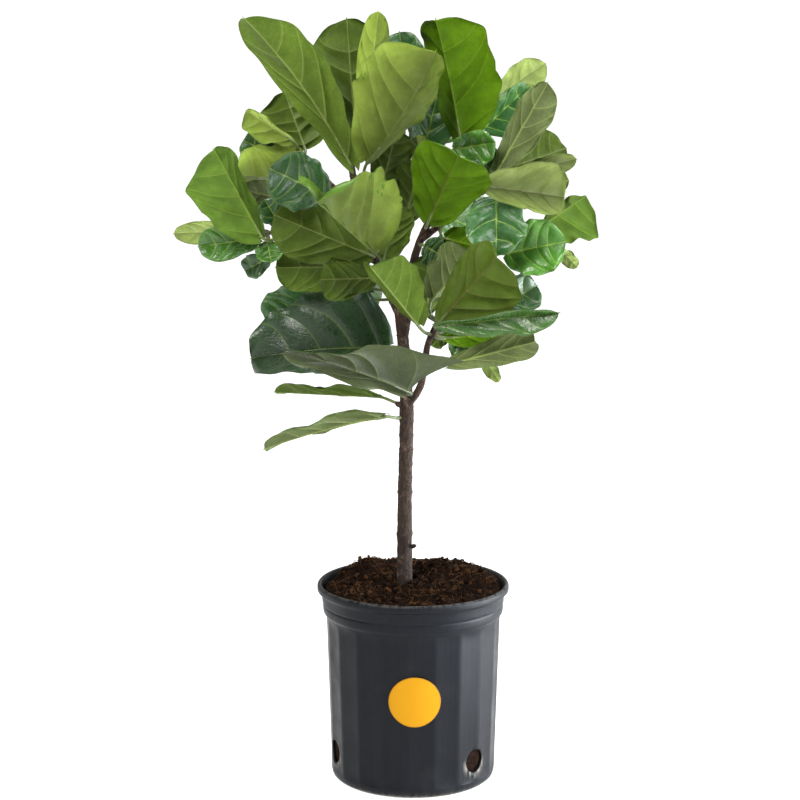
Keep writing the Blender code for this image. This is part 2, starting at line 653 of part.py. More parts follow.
def build_soil(collection, cutters):
    """The soil that fills the pot, with a plain hole where the trunk stands."""
    edge = WALL_TOP_RADIUS - WALL + 0.0035 - SOIL_GAP
    low = FLOOR + SOIL_GAP
    profile = [(r, SOIL_LEVEL) for r in SOIL_RINGS] + [
        (edge, POT_HEIGHT - 0.014),
        (edge - 0.0008, WALL_TOP + 0.0055),
        (WALL_TOP_RADIUS - WALL - SOIL_GAP - 0.0002, WALL_TOP - 0.0010),
        (WALL_FOOT_RADIUS - WALL - 0.0015 - SOIL_GAP - 0.0003, WALL_FOOT + 0.0005),
        (WALL_FOOT_RADIUS - 0.0120, low),
        (0.0, low),
    ]
    soil = lathe("soil", profile, SOIL_STEPS, collection)
    for vertex in soil.data.vertices:
        if vertex.co.z > SOIL_LEVEL - 0.001:
            vertex.co.z = soil_height(vertex.co.x, vertex.co.y)
    depth = POT_HEIGHT + 0.05 - TRUNK_HOLE_FLOOR
    hole = cylinder("trunk_hole", TRUNK_HOLE_RADIUS, depth, cutters)
    hole.location = (TRUNK_FOOT[0], TRUNK_FOOT[1], TRUNK_HOLE_FLOOR + depth / 2)
    cut(soil, [hole])
    coat(soil, "potting_soil", (0.045, 0.028, 0.018), 0.9)
    return soil


def build_label(collection):
    """The plain round sticker, bent round the pot's wall."""
    shape = bmesh.new()
    bmesh.ops.create_circle(shape, cap_ends=True, cap_tris=True, segments=36, radius=LABEL_RADIUS)
    bmesh.ops.subdivide_edges(
        shape, edges=[e for e in shape.edges if not e.is_boundary], cuts=1, use_grid_fill=True
    )
    bmesh.ops.triangulate(shape, faces=shape.faces)
    for vertex in shape.verts:
        x = vertex.co.x + LABEL_CENTRE[0]
        z = vertex.co.y + LABEL_CENTRE[1]
        radius = wall_radius(z) + LABEL_GAP + LABEL_THICKNESS / 2
        vertex.co = (x, -math.sqrt(radius**2 - x**2), z)
    mesh = bpy.data.meshes.new("label")
    shape.to_mesh(mesh)
    shape.free()
    label = add("label", mesh, collection)
    thicken(label, LABEL_THICKNESS)
    applied(label)
    coat(label, "label_yellow", (0.91, 0.46, 0.01), 0.45)
    return label


def thicken(obj, thickness):
    """Gives an open surface its thickness, half to each side."""
    solidify = obj.modifiers.new("thickness", "SOLIDIFY")
    solidify.thickness = thickness
    solidify.offset = 0.0


def build_stem(collection):
    """The trunk and its branches, fused into one piece of wood."""
    pieces = []
    for name in BRANCHES:
        line, radii = route_of(name, 14 if name == "trunk" else 12)
        pieces.append(tube("stem" if name == "trunk" else name, line, radii, BARK_SIDES, collection))
    stem = join(pieces[0], pieces[1:])
    coat(stem, "bark", (0.085, 0.058, 0.042), 0.85)
    return stem


def blade_object(leaf, number, collection):
    """The blade: an open waved surface, split alike on both faces, then thickened."""
    _, _, _, _, length = leaf_frame(leaf)
    rows = next(count for longest, count in BLADE_ROWS if length < longest)
    points = blade_points(leaf, number, rows, BLADE_COLUMNS)
    shape = bmesh.new()
    bmesh.ops.create_grid(shape, x_segments=BLADE_COLUMNS, y_segments=rows, size=1.0)
    for vertex in shape.verts:
        j = round((vertex.co.x + 1) / 2 * BLADE_COLUMNS)
        i = round((vertex.co.y + 1) / 2 * rows)
        vertex.co = points[i, j]
    bmesh.ops.triangulate(shape, faces=shape.faces, quad_method="SHORT_EDGE")
    mesh = bpy.data.meshes.new(leaf.name)
    shape.to_mesh(mesh)
    shape.free()
    blade = add(leaf.name, mesh, collection)
    thicken(blade, BLADE_THICKNESS)
    return applied(blade)


def leaf_pieces(leaf, number, collection):
    """A leaf's blade and its stalk, not yet fused."""
    route = stalk_route(leaf)
    stalk = tube(leaf.name + "_stalk", route, [STALK_RADIUS] * len(route), STALK_SIDES, collection)
    return [blade_object(leaf, number, collection), stalk]


def build_leaves(collection):
    """Every leaf as one solid, and each twig with the leaves that grow on it as one solid."""
    sprays = {}
    for name in TWIGS:
        line, radii = route_of(name, 5)
        sprays[name] = [tube(name, line, radii, TWIG_SIDES, collection)]
    for number, leaf in enumerate(LEAVES, 1):
        pieces = leaf_pieces(leaf, number, collection)
        if leaf.branch in sprays:
            sprays[leaf.branch] += pieces
        else:
            made = join(pieces[0], pieces[1:])
            coat(made, f"{leaf.name}_green", TONES[leaf.tone], LEAF_ROUGHNESS)
    for name, pieces in sprays.items():
        coat(join(pieces[0], pieces[1:]), f"{name}_green", TONES["mid"], LEAF_ROUGHNESS)


def main():
    clear_scene()
    plant = new_collection("potted_fiddle_leaf_fig")
    cutters = new_collection("cutters")
    cutters.hide_render = True
    build_pot(plant, cutters)
    build_soil(plant, cutters)
    build_label(plant)
    build_stem(plant)
    build_leaves(plant)


main()
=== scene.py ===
"""Looks of a potted fiddle leaf fig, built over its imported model.

Everything is in metres with +Z up. The pot's axis is the Z axis, the pot stands on z = 0 and the front
faces -Y. Branch and leaf points are (across, up, depth): where the point is seen on the upright plane
through the pot's axis, and how far behind that plane it lies along the line of sight.
"""

import logging
import math
from collections.abc import Sequence
from dataclasses import dataclass, field
from enum import Enum

import bmesh
import bpy
import numpy as np
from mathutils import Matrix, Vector, noise

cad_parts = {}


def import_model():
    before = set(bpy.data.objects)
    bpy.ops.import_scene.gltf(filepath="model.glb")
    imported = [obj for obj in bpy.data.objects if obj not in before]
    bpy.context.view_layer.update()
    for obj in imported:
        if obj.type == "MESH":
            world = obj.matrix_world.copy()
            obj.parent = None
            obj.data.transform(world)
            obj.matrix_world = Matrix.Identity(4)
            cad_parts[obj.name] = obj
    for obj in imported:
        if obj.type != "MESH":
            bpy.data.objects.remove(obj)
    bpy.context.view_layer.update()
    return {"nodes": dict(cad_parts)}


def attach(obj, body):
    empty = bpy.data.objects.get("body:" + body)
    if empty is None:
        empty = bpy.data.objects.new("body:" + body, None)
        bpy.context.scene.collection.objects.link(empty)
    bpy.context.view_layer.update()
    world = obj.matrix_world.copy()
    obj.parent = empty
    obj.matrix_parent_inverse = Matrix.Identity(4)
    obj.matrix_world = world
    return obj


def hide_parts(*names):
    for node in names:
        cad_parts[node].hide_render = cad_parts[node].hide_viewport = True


LOG = logging.getLogger("fig")
EYE = np.array((-0.017, -3.1, 1.08))

Colour = tuple[float, float, float]
Point = tuple[float, float, float]
Pair = tuple[float, float]
Array = np.ndarray
Wire = bpy.types.NodeSocket | float | Colour


class Tone(Enum):
    """The greens that a leaf can have."""

    OLIVE = "olive"
    GREY = "grey"
    BRIGHT = "bright"
    VIVID = "vivid"
    FRESH = "fresh"
    PALE = "pale"
    MID = "mid"
    DARK = "dark"

    @property
    def slot(self) -> str:
        """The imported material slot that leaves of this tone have."""
        return f"leaf_{Tone.VIVID.value if self is Tone.FRESH else self.value}"


def unit(vector: Array) -> Array:
    """The vector at length 1."""
    return vector / np.linalg.norm(vector)


def sight(across: float, up: float, depth: float) -> Array:
    """The point seen at (across, up) on the pot's upright plane, moved along the line of sight.

    Args:
        across: Place to the right of the pot's axis.
        up: Height on the plane.
        depth: How far behind the plane the point lies.

    Returns:
        The point in the frame.
    """
    reach = (depth - EYE[1]) / -EYE[1]
    return EYE + (np.array((across, 0.0, up)) - EYE) * reach


def curve_through(points: Sequence[Array], count: int) -> Array:
    """A smooth line through the points.

    Args:
        points: Places that the line passes.
        count: Number of points along the line.

    Returns:
        The line's points, one row each.
    """
    p = np.asarray(points, float)
    p = np.vstack([2 * p[0] - p[1], p, 2 * p[-1] - p[-2]])
    spans = len(p) - 3
    line = []
    for place in np.linspace(0, spans, count):
        i = min(int(place), spans - 1)
        u = place - i
        a, b, c, d = p[i : i + 4]
        linear = (c - a) * u
        square = (2 * a - 5 * b + 4 * c - d) * u**2
        cube = (3 * b - a - 3 * c + d) * u**3
        line.append(0.5 * (2 * b + linear + square + cube))
    return np.array(line)


def ring_frames(line: Array) -> tuple[Array, Array]:
    """Two directions square to the line at each of its points, turned as little as possible along it.

    Args:
        line: Points of the line, one row each.

    Returns:
        The two directions, one row each per point.
    """
    heading = np.gradient(line, axis=0)
    heading /= np.linalg.norm(heading, axis=1)[:, None]
    first = np.cross(heading[0], (0.0, 1.0, 0.0))
    if np.linalg.norm(first) < 0.2:
        first = np.cross(heading[0], (1.0, 0.0, 0.0))
    ups = []
    for way in heading:
        first = unit(first - way * first.dot(way))
        ups.append(first)
    ups = np.array(ups)
    return ups, np.cross(heading, ups)


@dataclass
class Shape:
    """Points, faces and values at the points, gathered for one mesh."""

    points: list[Array] = field(default_factory=list)
    faces: list[Array] = field(default_factory=list)
    slots: list[Array] = field(default_factory=list)
    values: dict[str, list[Array]] = field(default_factory=dict)
    count: int = 0

    def add(self, points: Array, faces: Array, slot: int = 0, **values: Array | float) -> None:
        """Adds some points with their faces.

        Args:
            points: One row each.
            faces: Rows of three or four point numbers, counted from the first of these points. A row of
                three repeats its last number.
            slot: Number of the material slot.
            **values: For each named value, a number for all points or one for each.
        """
        missing = set(self.values) ^ set(values) if self.points else set()
        if missing:
            raise ValueError(f"values {sorted(missing)} aren't given for every part of the shape")
        self.points.append(points)
        self.faces.append(np.asarray(faces) + self.count)
        self.slots.append(np.full(len(faces), slot))
        for name, value in values.items():
            self.values.setdefault(name, []).append(np.broadcast_to(value, len(points)).astype(float))
        self.count += len(points)

    def add_grid(self, grid: Array, slot: int = 0, closed: bool = False, **values: Array | float) -> None:
        """Adds a sheet of points, rows by columns, as four-sided faces.

        Args:
            grid: Points in rows and columns.
            slot: Number of the material slot.
            closed: Whether the last column joins the first.
            **values: As in add, with the grid's own rows and columns.
        """
        rows, columns = grid.shape[:2]
        index = np.arange(rows * columns).reshape(rows, columns)
        if closed:
            index = np.hstack([index, index[:, :1]])
        faces = np.stack([index[:-1, :-1], index[:-1, 1:], index[1:, 1:], index[1:, :-1]], axis=-1)
        flat = {name: np.broadcast_to(value, (rows, columns)).reshape(-1) for name, value in values.items()}
        self.add(grid.reshape(-1, 3), faces.reshape(-1, 4), slot, **flat)

    def add_tube(self, line: Array, radii: Array, sides: int, slot: int = 0, **values: Array | float) -> None:
        """Adds a closed round tube along a line.

        Args:
            line: Points of the line, one row each.
            radii: Radius at each point, or at each point and side.
            sides: Number of sides.
            slot: Number of the material slot.
            **values: As in add, with a number for each point of the line.
        """
        up, side = ring_frames(line)
        angle = np.linspace(0, 2 * np.pi, sides, endpoint=False)
        radii = np.broadcast_to(np.asarray(radii).reshape(len(line), -1), (len(line), sides))
        ring = np.cos(angle)[None, :, None] * up[:, None] + np.sin(angle)[None, :, None] * side[:, None]
        points = line[:, None] + ring * radii[..., None]
        tube = np.vstack([points.reshape(-1, 3), line[:1], line[-1:]])
        index = np.arange(len(line) * sides).reshape(len(line), sides)
        index = np.hstack([index, index[:, :1]])
        faces = np.stack([index[:-1, :-1], index[:-1, 1:], index[1:, 1:], index[1:, :-1]], axis=-1)
        foot, tip = len(tube) - 2, len(tube) - 1
        caps = [(foot, b, a, a) for a, b in zip(index[0, :-1], index[0, 1:])]
        caps += [(tip, a, b, b) for a, b in zip(index[-1, :-1], index[-1, 1:])]
        spread = {}
        for name, value in values.items():
            each = np.broadcast_to(value, len(line))
            spread[name] = np.concatenate([np.repeat(each, sides), each[:1], each[-1:]])
        self.add(tube, np.vstack([faces.reshape(-1, 4), caps]), slot, **spread)

    def make(self, name: str, materials: Sequence[bpy.types.Material]) -> bpy.types.Object:
        """Makes the object, smooth and with its values as attributes.

        Args:
            name: Name of the object and its mesh.
            materials: One for each slot.

        Returns:
            The new object, linked to the scene.
        """
        faces = np.vstack(self.faces)
        rows = [tuple(dict.fromkeys(face)) for face in faces.tolist()]
        mesh = bpy.data.meshes.new(name)
        mesh.from_pydata(np.vstack(self.points).tolist(), [], rows)
        for key, parts in self.values.items():
            attribute = mesh.attributes.new(key, "FLOAT", "POINT")
            attribute.data.foreach_set("value", np.concatenate(parts).astype(np.float32))
        mesh.polygons.foreach_set("material_index", np.concatenate(self.slots).astype(np.int32))
        mesh.polygons.foreach_set("use_smooth", np.ones(len(rows), bool))
        for material in materials:
            mesh.materials.append(material)
        mesh.update()
        piece = bpy.data.objects.new(name, mesh)
        bpy.context.scene.collection.objects.link(piece)
        return piece


def seat(piece: bpy.types.Object, slot: str, *nodes: str) -> None:
    """Rides the piece on the plant and hides the nodes that it stands for.

    Args:
        piece: The finished piece.
        slot: Name of a material slot; not used.
        *nodes: Names of the nodes, if it stands for any.
    """
    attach(piece, "root")
    if nodes:
        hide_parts(*nodes)


class Graph:
    """A material's node tree, with a short call for each kind of node that the finishes use."""

    def __init__(self, name: str) -> None:
        """Starts a new Principled material.

        Args:
            name: Name of the material.
        """
        self.material = bpy.data.materials.new(name)
        self.material.use_nodes = True
        self.tree = self.material.node_tree
        self.shader = self.tree.nodes["Principled BSDF"]

    def join(self, value: Wire, socket: bpy.types.NodeSocket) -> None:
        """Links or sets a value on a socket.

        Args:
            value: A socket to link, or a number or colour to set.
            socket: The input.
        """
        if isinstance(value, bpy.types.NodeSocket):
            self.tree.links.new(value, socket)
        elif isinstance(value, tuple):
            socket.default_value = (*value, 1.0) if len(socket.default_value) == 4 else value
        else:
            socket.default_value = value

    def value(self, name: str) -> bpy.types.NodeSocket:
        """A value that the mesh carries at its points.

        Args:
            name: Name of the mesh attribute.

        Returns:
            The output socket.
        """
        node = self.tree.nodes.new("ShaderNodeAttribute")
        node.attribute_name = name
        return node.outputs["Fac"]

    def place(self, stretch: Point = (1.0, 1.0, 1.0)) -> bpy.types.NodeSocket:
        """The place on the object, in metres.

        Args:
            stretch: What each axis is multiplied by.

        Returns:
            The output socket.
        """
        node = self.tree.nodes.new("ShaderNodeMapping")
        node.inputs["Scale"].default_value = stretch
        coordinates = self.tree.nodes.new("ShaderNodeTexCoord")
        self.tree.links.new(coordinates.outputs["Object"], node.inputs["Vector"])
        return node.outputs["Vector"]

    def vector(self, x: Wire, y: Wire, z: Wire = 0.0) -> bpy.types.NodeSocket:
        """A vector from three numbers.

        Args:
            x, y, z: The numbers or the sockets that give them.

        Returns:
            The output socket.
        """
        node = self.tree.nodes.new("ShaderNodeCombineXYZ")
        for value, socket in zip((x, y, z), node.inputs):
            self.join(value, socket)
        return node.outputs["Vector"]

    def sum(self, operation: str, a: Wire, b: Wire = 0.0) -> bpy.types.NodeSocket:
        """The result of a Math node.

        Args:
            operation: The node's operation.
            a: First number.
            b: Second number.

        Returns:
            The output socket.
        """
        node = self.tree.nodes.new("ShaderNodeMath")
        node.operation = operation
        self.join(a, node.inputs[0])
        self.join(b, node.inputs[1])
        return node.outputs[0]

    def span(self, value: Wire, low: float, high: float, to: Pair = (0.0, 1.0)) -> bpy.types.NodeSocket:
        """The value's place between two others, as a smooth step.

        Args:
            value: The value.
            low: Where the step starts.
            high: Where it ends.
            to: The results at its start and end.

        Returns:
            The output socket.
        """
        node = self.tree.nodes.new("ShaderNodeMapRange")
        node.interpolation_type = "SMOOTHSTEP"
        for number, each in zip((value, low, high, *to), node.inputs):
            self.join(number, each)
        return node.outputs["Result"]

    def mix(self, share: Wire, a: Wire, b: Wire) -> bpy.types.NodeSocket:
        """Two colours mixed.

        Args:
            share: How much of b is in the result, from 0 to 1.
            a: First colour.
            b: Second colour.

        Returns:
            The output socket.
        """
        node = self.tree.nodes.new("ShaderNodeMix")
        node.data_type = "RGBA"
        self.join(share, node.inputs[0])
        self.join(a, node.inputs[6])
        self.join(b, node.inputs[7])
        return node.outputs[2]

    def bright(self, colour: Wire, gain: Wire) -> bpy.types.NodeSocket:
        """A colour times a number.

        Args:
            colour: The colour.
            gain: The number.

        Returns:
            The output socket.
        """
        node = self.tree.nodes.new("ShaderNodeVectorMath")
        node.operation = "SCALE"
        self.join(colour, node.inputs["Vector"])
        self.join(gain, node.inputs["Scale"])
        return node.outputs["Vector"]

    def cloud(
        self, vector: Wire, scale: float, detail: float = 3.0, rough: float = 0.55
    ) -> bpy.types.NodeSocket:
        """Soft noise, about 0.5 on average.

        Args:
            vector: Where the noise is read.
            scale: Blobs to a metre.
            detail: Number of finer layers.
            rough: Strength of each finer layer.

        Returns:
            The noise, from 0 to 1.
        """
        node = self.tree.nodes.new("ShaderNodeTexNoise")
        self.join(vector, node.inputs["Vector"])
        node.inputs["Scale"].default_value = scale
        node.inputs["Detail"].default_value = detail
        node.inputs["Roughness"].default_value = rough
        return node.outputs[0]

    def cells(self, vector: Wire, scale: float, edges: bool = True) -> bpy.types.NodeSocket:
        """Cells in a network, as the distance to the nearest border, or else to the nearest middle.

        Args:
            vector: Where the cells are read.
            scale: Cells to a metre.
            edges: Whether the distance is to the border.

        Returns:
            The distance, in cells.
        """
        node = self.tree.nodes.new("ShaderNodeTexVoronoi")
        node.feature = "DISTANCE_TO_EDGE" if edges else "F1"
        self.join(vector, node.inputs["Vector"])
        node.inputs["Scale"].default_value = scale
        return node.outputs["Distance"]

    def bump(self, height: Wire, depth: float, strength: float = 1.0) -> None:
        """Roughens the shader's normal.

        Args:
            height: Height from 0 to 1.
            depth: How far height 1 stands out, in metres.
            strength: Share of the effect.
        """
        node = self.tree.nodes.new("ShaderNodeBump")
        node.inputs["Strength"].default_value = strength
        node.inputs["Distance"].default_value = depth
        self.join(height, node.inputs["Height"])
        self.tree.links.new(node.outputs["Normal"], self.shader.inputs["Normal"])

    def surface(self, colour: Wire, roughness: Wire) -> bpy.types.Material:
        """Ends the material with its colour and roughness.

        Args:
            colour: Its colour.
            roughness: Its roughness.

        Returns:
            The material.
        """
        self.join(colour, self.shader.inputs["Base Color"])
        self.join(roughness, self.shader.inputs["Roughness"])
        return self.material


@dataclass(frozen=True)
class LeafFinish:
    """The two faces of a blade: a waxy upper side and a duller underside, with veins and a thin pale rim."""

    tone: Tone
    upper: Colour
    under: Colour
    upper_vein: Colour = (0.230, 0.340, 0.060)
    under_vein: Colour = (0.270, 0.340, 0.090)
    rust: Colour = (0.115, 0.075, 0.030)
    rim: Colour = (0.060, 0.085, 0.030)
    upper_gloss: float = 0.26
    under_gloss: float = 0.52
    shine: float = 0.38

    def material(self) -> bpy.types.Material:
        """Makes the material, which reads the values that each blade's mesh carries.

        Returns:
            The material.
        """
        g = Graph(f"leaf_{self.tone.value}")
        side = g.value("upper")
        sheet = g.vector(g.value("across"), g.value("along"))
        mottle = g.cloud(g.place(), 55.0, 4.0, 0.6)
        flesh = g.mix(side, self.under, self.upper)
        flesh = g.mix(g.span(mottle, 0.35, 0.75), g.bright(flesh, 0.84), g.bright(flesh, 1.14))
        net = g.span(g.cells(sheet, 150.0), 0.0, 0.10, (1.0, 0.0))
        fine = g.span(g.cells(sheet, 430.0), 0.0, 0.16, (1.0, 0.0))
        rust = g.value("rust")
        vein = g.mix(side, self.under_vein, self.upper_vein)
        vein = g.mix(rust, vein, self.rust)
        flesh = g.mix(g.sum("MULTIPLY", net, 0.07), flesh, vein)
        flesh = g.mix(g.sum("MULTIPLY", fine, 0.03), flesh, vein)
        seen = g.span(side, 0.0, 1.0, (0.72, 1.0))
        flesh = g.mix(g.sum("MULTIPLY", g.value("vein"), seen), flesh, vein)
        specks = g.span(g.cells(g.place(), 210.0, edges=False), 0.10, 0.22, (1.0, 0.0))
        patch = g.span(g.cloud(g.place(), 24.0, 2.0), 0.50, 0.62)
        specks = g.sum("MULTIPLY", g.sum("MULTIPLY", specks, patch), g.value("freckle"))
        flesh = g.mix(specks, flesh, self.rust)
        flesh = g.mix(g.value("rim"), flesh, self.rim)
        # Painted light and shade: the colour is scaled by each leaf's painted brightness.
        flesh = g.bright(flesh, g.value("light"))
        gloss = g.span(side, 0.0, 1.0, (self.under_gloss, self.upper_gloss))
        gloss = g.sum("ADD", gloss, g.span(g.cloud(g.place(), 120.0), 0.3, 0.7, (-0.05, 0.06)))
        way = g.span(side, 0.0, 1.0, (0.6, -0.6))
        relief = g.sum("MULTIPLY", g.sum("ADD", net, g.sum("MULTIPLY", fine, 0.4)), way)
        relief = g.sum("ADD", relief, g.cloud(sheet, 260.0, 2.0))
        g.bump(relief, 0.00025, 0.7)
        g.shader.inputs["Specular IOR Level"].default_value = self.shine
        return g.surface(flesh, gloss)


@dataclass(frozen=True)
class BarkFinish:
    """Rough woody bark, greyer at the foot and redder towards the twigs."""

    foot: Colour = (0.034, 0.025, 0.020)
    upper: Colour = (0.060, 0.032, 0.022)
    dark: Colour = (0.018, 0.013, 0.011)
    worn: Colour = (0.150, 0.108, 0.082)
    roughness: float = 0.82
    shine: float = 0.12

    def material(self) -> bpy.types.Material:
        """Makes the material.

        Returns:
            The material.
        """
        g = Graph("bark")
        long_way = g.place((1.0, 1.0, 0.22))
        streaks = g.cloud(long_way, 340.0, 5.0, 0.65)
        patches = g.cloud(g.place(), 70.0, 4.0, 0.6)
        wood = g.mix(g.value("height"), self.foot, self.upper)
        wood = g.mix(g.span(streaks, 0.34, 0.60), self.dark, wood)
        wood = g.mix(g.span(patches, 0.54, 0.74), wood, self.worn)
        cracks = g.span(g.cells(g.place((1.0, 1.0, 0.4)), 260.0), 0.0, 0.16)
        wood = g.mix(g.sum("MULTIPLY", g.sum("SUBTRACT", 1.0, cracks), 0.6), wood, self.dark)
        g.bump(g.sum("ADD", streaks, g.sum("MULTIPLY", cracks, 0.5)), 0.0012)
        g.shader.inputs["Specular IOR Level"].default_value = self.shine
        return g.surface(wood, self.roughness)


@dataclass(frozen=True)
class StalkFinish:
    """The smooth green skin of a stalk or young twig, brown where it is old."""

    green: Colour = (0.150, 0.215, 0.050)
    brown: Colour = (0.055, 0.040, 0.022)
    roughness: float = 0.5

    def material(self) -> bpy.types.Material:
        """Makes the material.

        Returns:
            The material.
        """
        g = Graph("stalk_green")
        mottle = g.cloud(g.place(), 260.0, 3.0)
        skin = g.mix(g.value("rust"), self.green, self.brown)
        skin = g.mix(g.span(mottle, 0.4, 0.7), skin, g.bright(skin, 0.6))
        g.bump(mottle, 0.0003)
        # Painted light and shade: the stalk's colour is scaled by its leaf's painted brightness.
        return g.surface(g.bright(skin, g.value("light")), self.roughness)


@dataclass(frozen=True)
class PotFinish:
    """Dark moulded plastic with faint draw marks, dust and scuffs."""

    body: Colour = (0.0038, 0.0046, 0.0066)
    worn: Colour = (0.010, 0.0115, 0.014)
    scuff: Colour = (0.230, 0.215, 0.180)
    roughness: float = 0.42
    shine: float = 0.13

    def material(self) -> bpy.types.Material:
        """Makes the material.

        Returns:
            The material.
        """
        g = Graph("pot_plastic")
        draw = g.cloud(g.place((1.0, 1.0, 0.06)), 190.0, 3.0, 0.6)
        dust = g.cloud(g.place(), 26.0, 4.0, 0.6)
        colour = g.mix(g.span(draw, 0.36, 0.66), self.body, g.bright(self.body, 1.25))
        colour = g.mix(g.span(dust, 0.52, 0.78, (0.0, 0.7)), colour, self.worn)
        marks = g.span(g.cloud(g.place((1.0, 1.0, 0.7)), 420.0, 5.0, 0.7), 0.62, 0.70)
        colour = g.mix(g.sum("MULTIPLY", marks, 0.35), colour, self.worn)
        colour = g.mix(g.sum("MULTIPLY", g.value("scuff"), g.span(draw, 0.40, 0.52)), colour, self.scuff)
        gloss = g.span(dust, 0.3, 0.75, (self.roughness - 0.06, self.roughness + 0.12))
        g.bump(g.sum("ADD", g.cloud(g.place(), 900.0, 2.0), draw), 0.00016)
        g.shader.inputs["Specular IOR Level"].default_value = self.shine
        return g.surface(colour, gloss)


@dataclass(frozen=True)
class SoilFinish:
    """Dark fibrous potting mix. Each chip and fibre has a shade of its own."""

    dark: Colour = (0.004, 0.0022, 0.0014)
    brown: Colour = (0.026, 0.011, 0.005)
    tan: Colour = (0.130, 0.062, 0.026)
    roughness: float = 0.92
    shine: float = 0.06

    def material(self) -> bpy.types.Material:
        """Makes the material.

        Returns:
            The material.
        """
        g = Graph("potting_mix")
        lumps = g.cloud(g.place(), 150.0, 5.0, 0.7)
        crumbs = g.cells(g.place(), 330.0)
        colour = g.mix(g.span(lumps, 0.34, 0.66), self.dark, self.brown)
        colour = g.mix(g.span(crumbs, 0.0, 0.22, (0.7, 0.0)), colour, self.dark)
        shade = g.value("shade")
        colour = g.mix(g.span(shade, 0.5, 1.0), colour, self.tan)
        colour = g.bright(colour, g.span(shade, 0.0, 0.5, (0.55, 1.0)))
        g.bump(g.sum("ADD", lumps, crumbs), 0.004)
        g.shader.inputs["Specular IOR Level"].default_value = self.shine
        return g.surface(colour, self.roughness)


@dataclass(frozen=True)
class StickerFinish:
    """Plain yellow film with a faint satin grain and a darker cut edge."""

    face: Colour = (0.440, 0.205, 0.003)
    edge: Colour = (0.290, 0.125, 0.004)
    roughness: float = 0.48
    shine: float = 0.12

    def material(self) -> bpy.types.Material:
        """Makes the material.

        Returns:
            The material.
        """
        g = Graph("sticker_yellow")
        grain = g.cloud(g.place(), 700.0, 2.0)
        wash = g.cloud(g.place(), 40.0, 2.0)
        colour = g.mix(g.span(wash, 0.3, 0.7), g.bright(self.face, 0.96), self.face)
        colour = g.mix(g.value("rim"), colour, self.edge)
        g.bump(grain, 0.00008)
        g.shader.inputs["Specular IOR Level"].default_value = self.shine
        return g.surface(colour, g.span(grain, 0.3, 0.7, (self.roughness - 0.04, self.roughness + 0.05)))


@dataclass(frozen=True)
class FloorFinish:
    """The pale matte ground that the plant stands on."""

    colour: Colour = (0.50, 0.50, 0.498)
    roughness: float = 0.9
    glow: float = 0.80

    def material(self) -> bpy.types.Material:
        """Makes the material.

        Returns:
            The material.
        """
        g = Graph("pale_floor")
        wash = g.cloud(g.place(), 3.0, 2.0)
        g.shader.inputs["Emission Color"].default_value = (1.0, 1.0, 1.0, 1.0)
        g.shader.inputs["Emission Strength"].default_value = self.glow
        paint = g.mix(g.span(wash, 0.3, 0.7), self.colour, g.bright(self.colour, 1.02))
        return g.surface(paint, self.roughness)


LEAF_FINISHES = (
    LeafFinish(Tone.OLIVE, (0.030, 0.090, 0.010), (0.070, 0.118, 0.011), shine=0.10),
    LeafFinish(Tone.GREY, (0.020, 0.058, 0.015), (0.074, 0.098, 0.032), shine=0.14),
    LeafFinish(Tone.BRIGHT, (0.080, 0.170, 0.014), (0.150, 0.215, 0.026),
               under_vein=(0.26, 0.31, 0.08), shine=0.14),
    LeafFinish(Tone.VIVID, (0.045, 0.140, 0.004), (0.064, 0.142, 0.002),
               under_vein=(0.17, 0.26, 0.02), shine=0.05),
    LeafFinish(Tone.FRESH, (0.040, 0.125, 0.010), (0.080, 0.150, 0.018),
               under_vein=(0.20, 0.28, 0.04), shine=0.08),
    LeafFinish(Tone.PALE, (0.170, 0.260, 0.045), (0.215, 0.285, 0.070),
               under_vein=(0.14, 0.18, 0.04), shine=0.15),
    LeafFinish(Tone.MID, (0.034, 0.115, 0.012), (0.080, 0.130, 0.022), shine=0.50),
    LeafFinish(Tone.DARK, (0.016, 0.062, 0.016), (0.060, 0.095, 0.022), upper_gloss=0.31, shine=0.45),
)


def rounded(profile: Sequence[Pair], reach: float, steps: int = 4) -> Array:
    """A profile with its corners rounded.

    Args:
        profile: Points of (radius, height).
        reach: How far from each corner the rounding starts, at most.
        steps: Number of points in each corner.

    Returns:
        The new profile, one row for each point.
    """
    p = np.asarray(profile, float)
    line = [p[0]]
    for before, corner, after in zip(p, p[1:], p[2:]):
        back, on = before - corner, after - corner
        near = min(reach, 0.45 * np.linalg.norm(back), 0.45 * np.linalg.norm(on))
        a, b = corner + unit(back) * near, corner + unit(on) * near
        for u in np.linspace(0, 1, steps):
            line.append(a * (1 - u) ** 2 + corner * 2 * u * (1 - u) + b * u**2)
    line.append(p[-1])
    return np.array(line)


def denser(profile: Array, step: float) -> Array:
    """The profile with points added where they are far apart.

    Args:
        profile: Points of (radius, height).
        step: The longest gap that stays.

    Returns:
        The new profile.
    """
    line = [profile[0]]
    for a, b in zip(profile, profile[1:]):
        count = max(1, math.ceil(np.linalg.norm(b - a) / step))
        line += [a + (b - a) * k / count for k in range(1, count + 1)]
    return np.array(line)


def turned(profile: Array, steps: int) -> Array:
    """The profile turned about the Z axis.

    Args:
        profile: Points of (radius, height).
        steps: Number of columns, the first at the front.

    Returns:
        A grid of points, one row for each point of the profile.
    """
    angle = np.linspace(0, 2 * np.pi, steps, endpoint=False)
    radius, height = profile[:, 0, None], profile[:, 1, None]
    return np.stack([radius * np.sin(angle), -radius * np.cos(angle), height + 0 * angle], axis=-1)


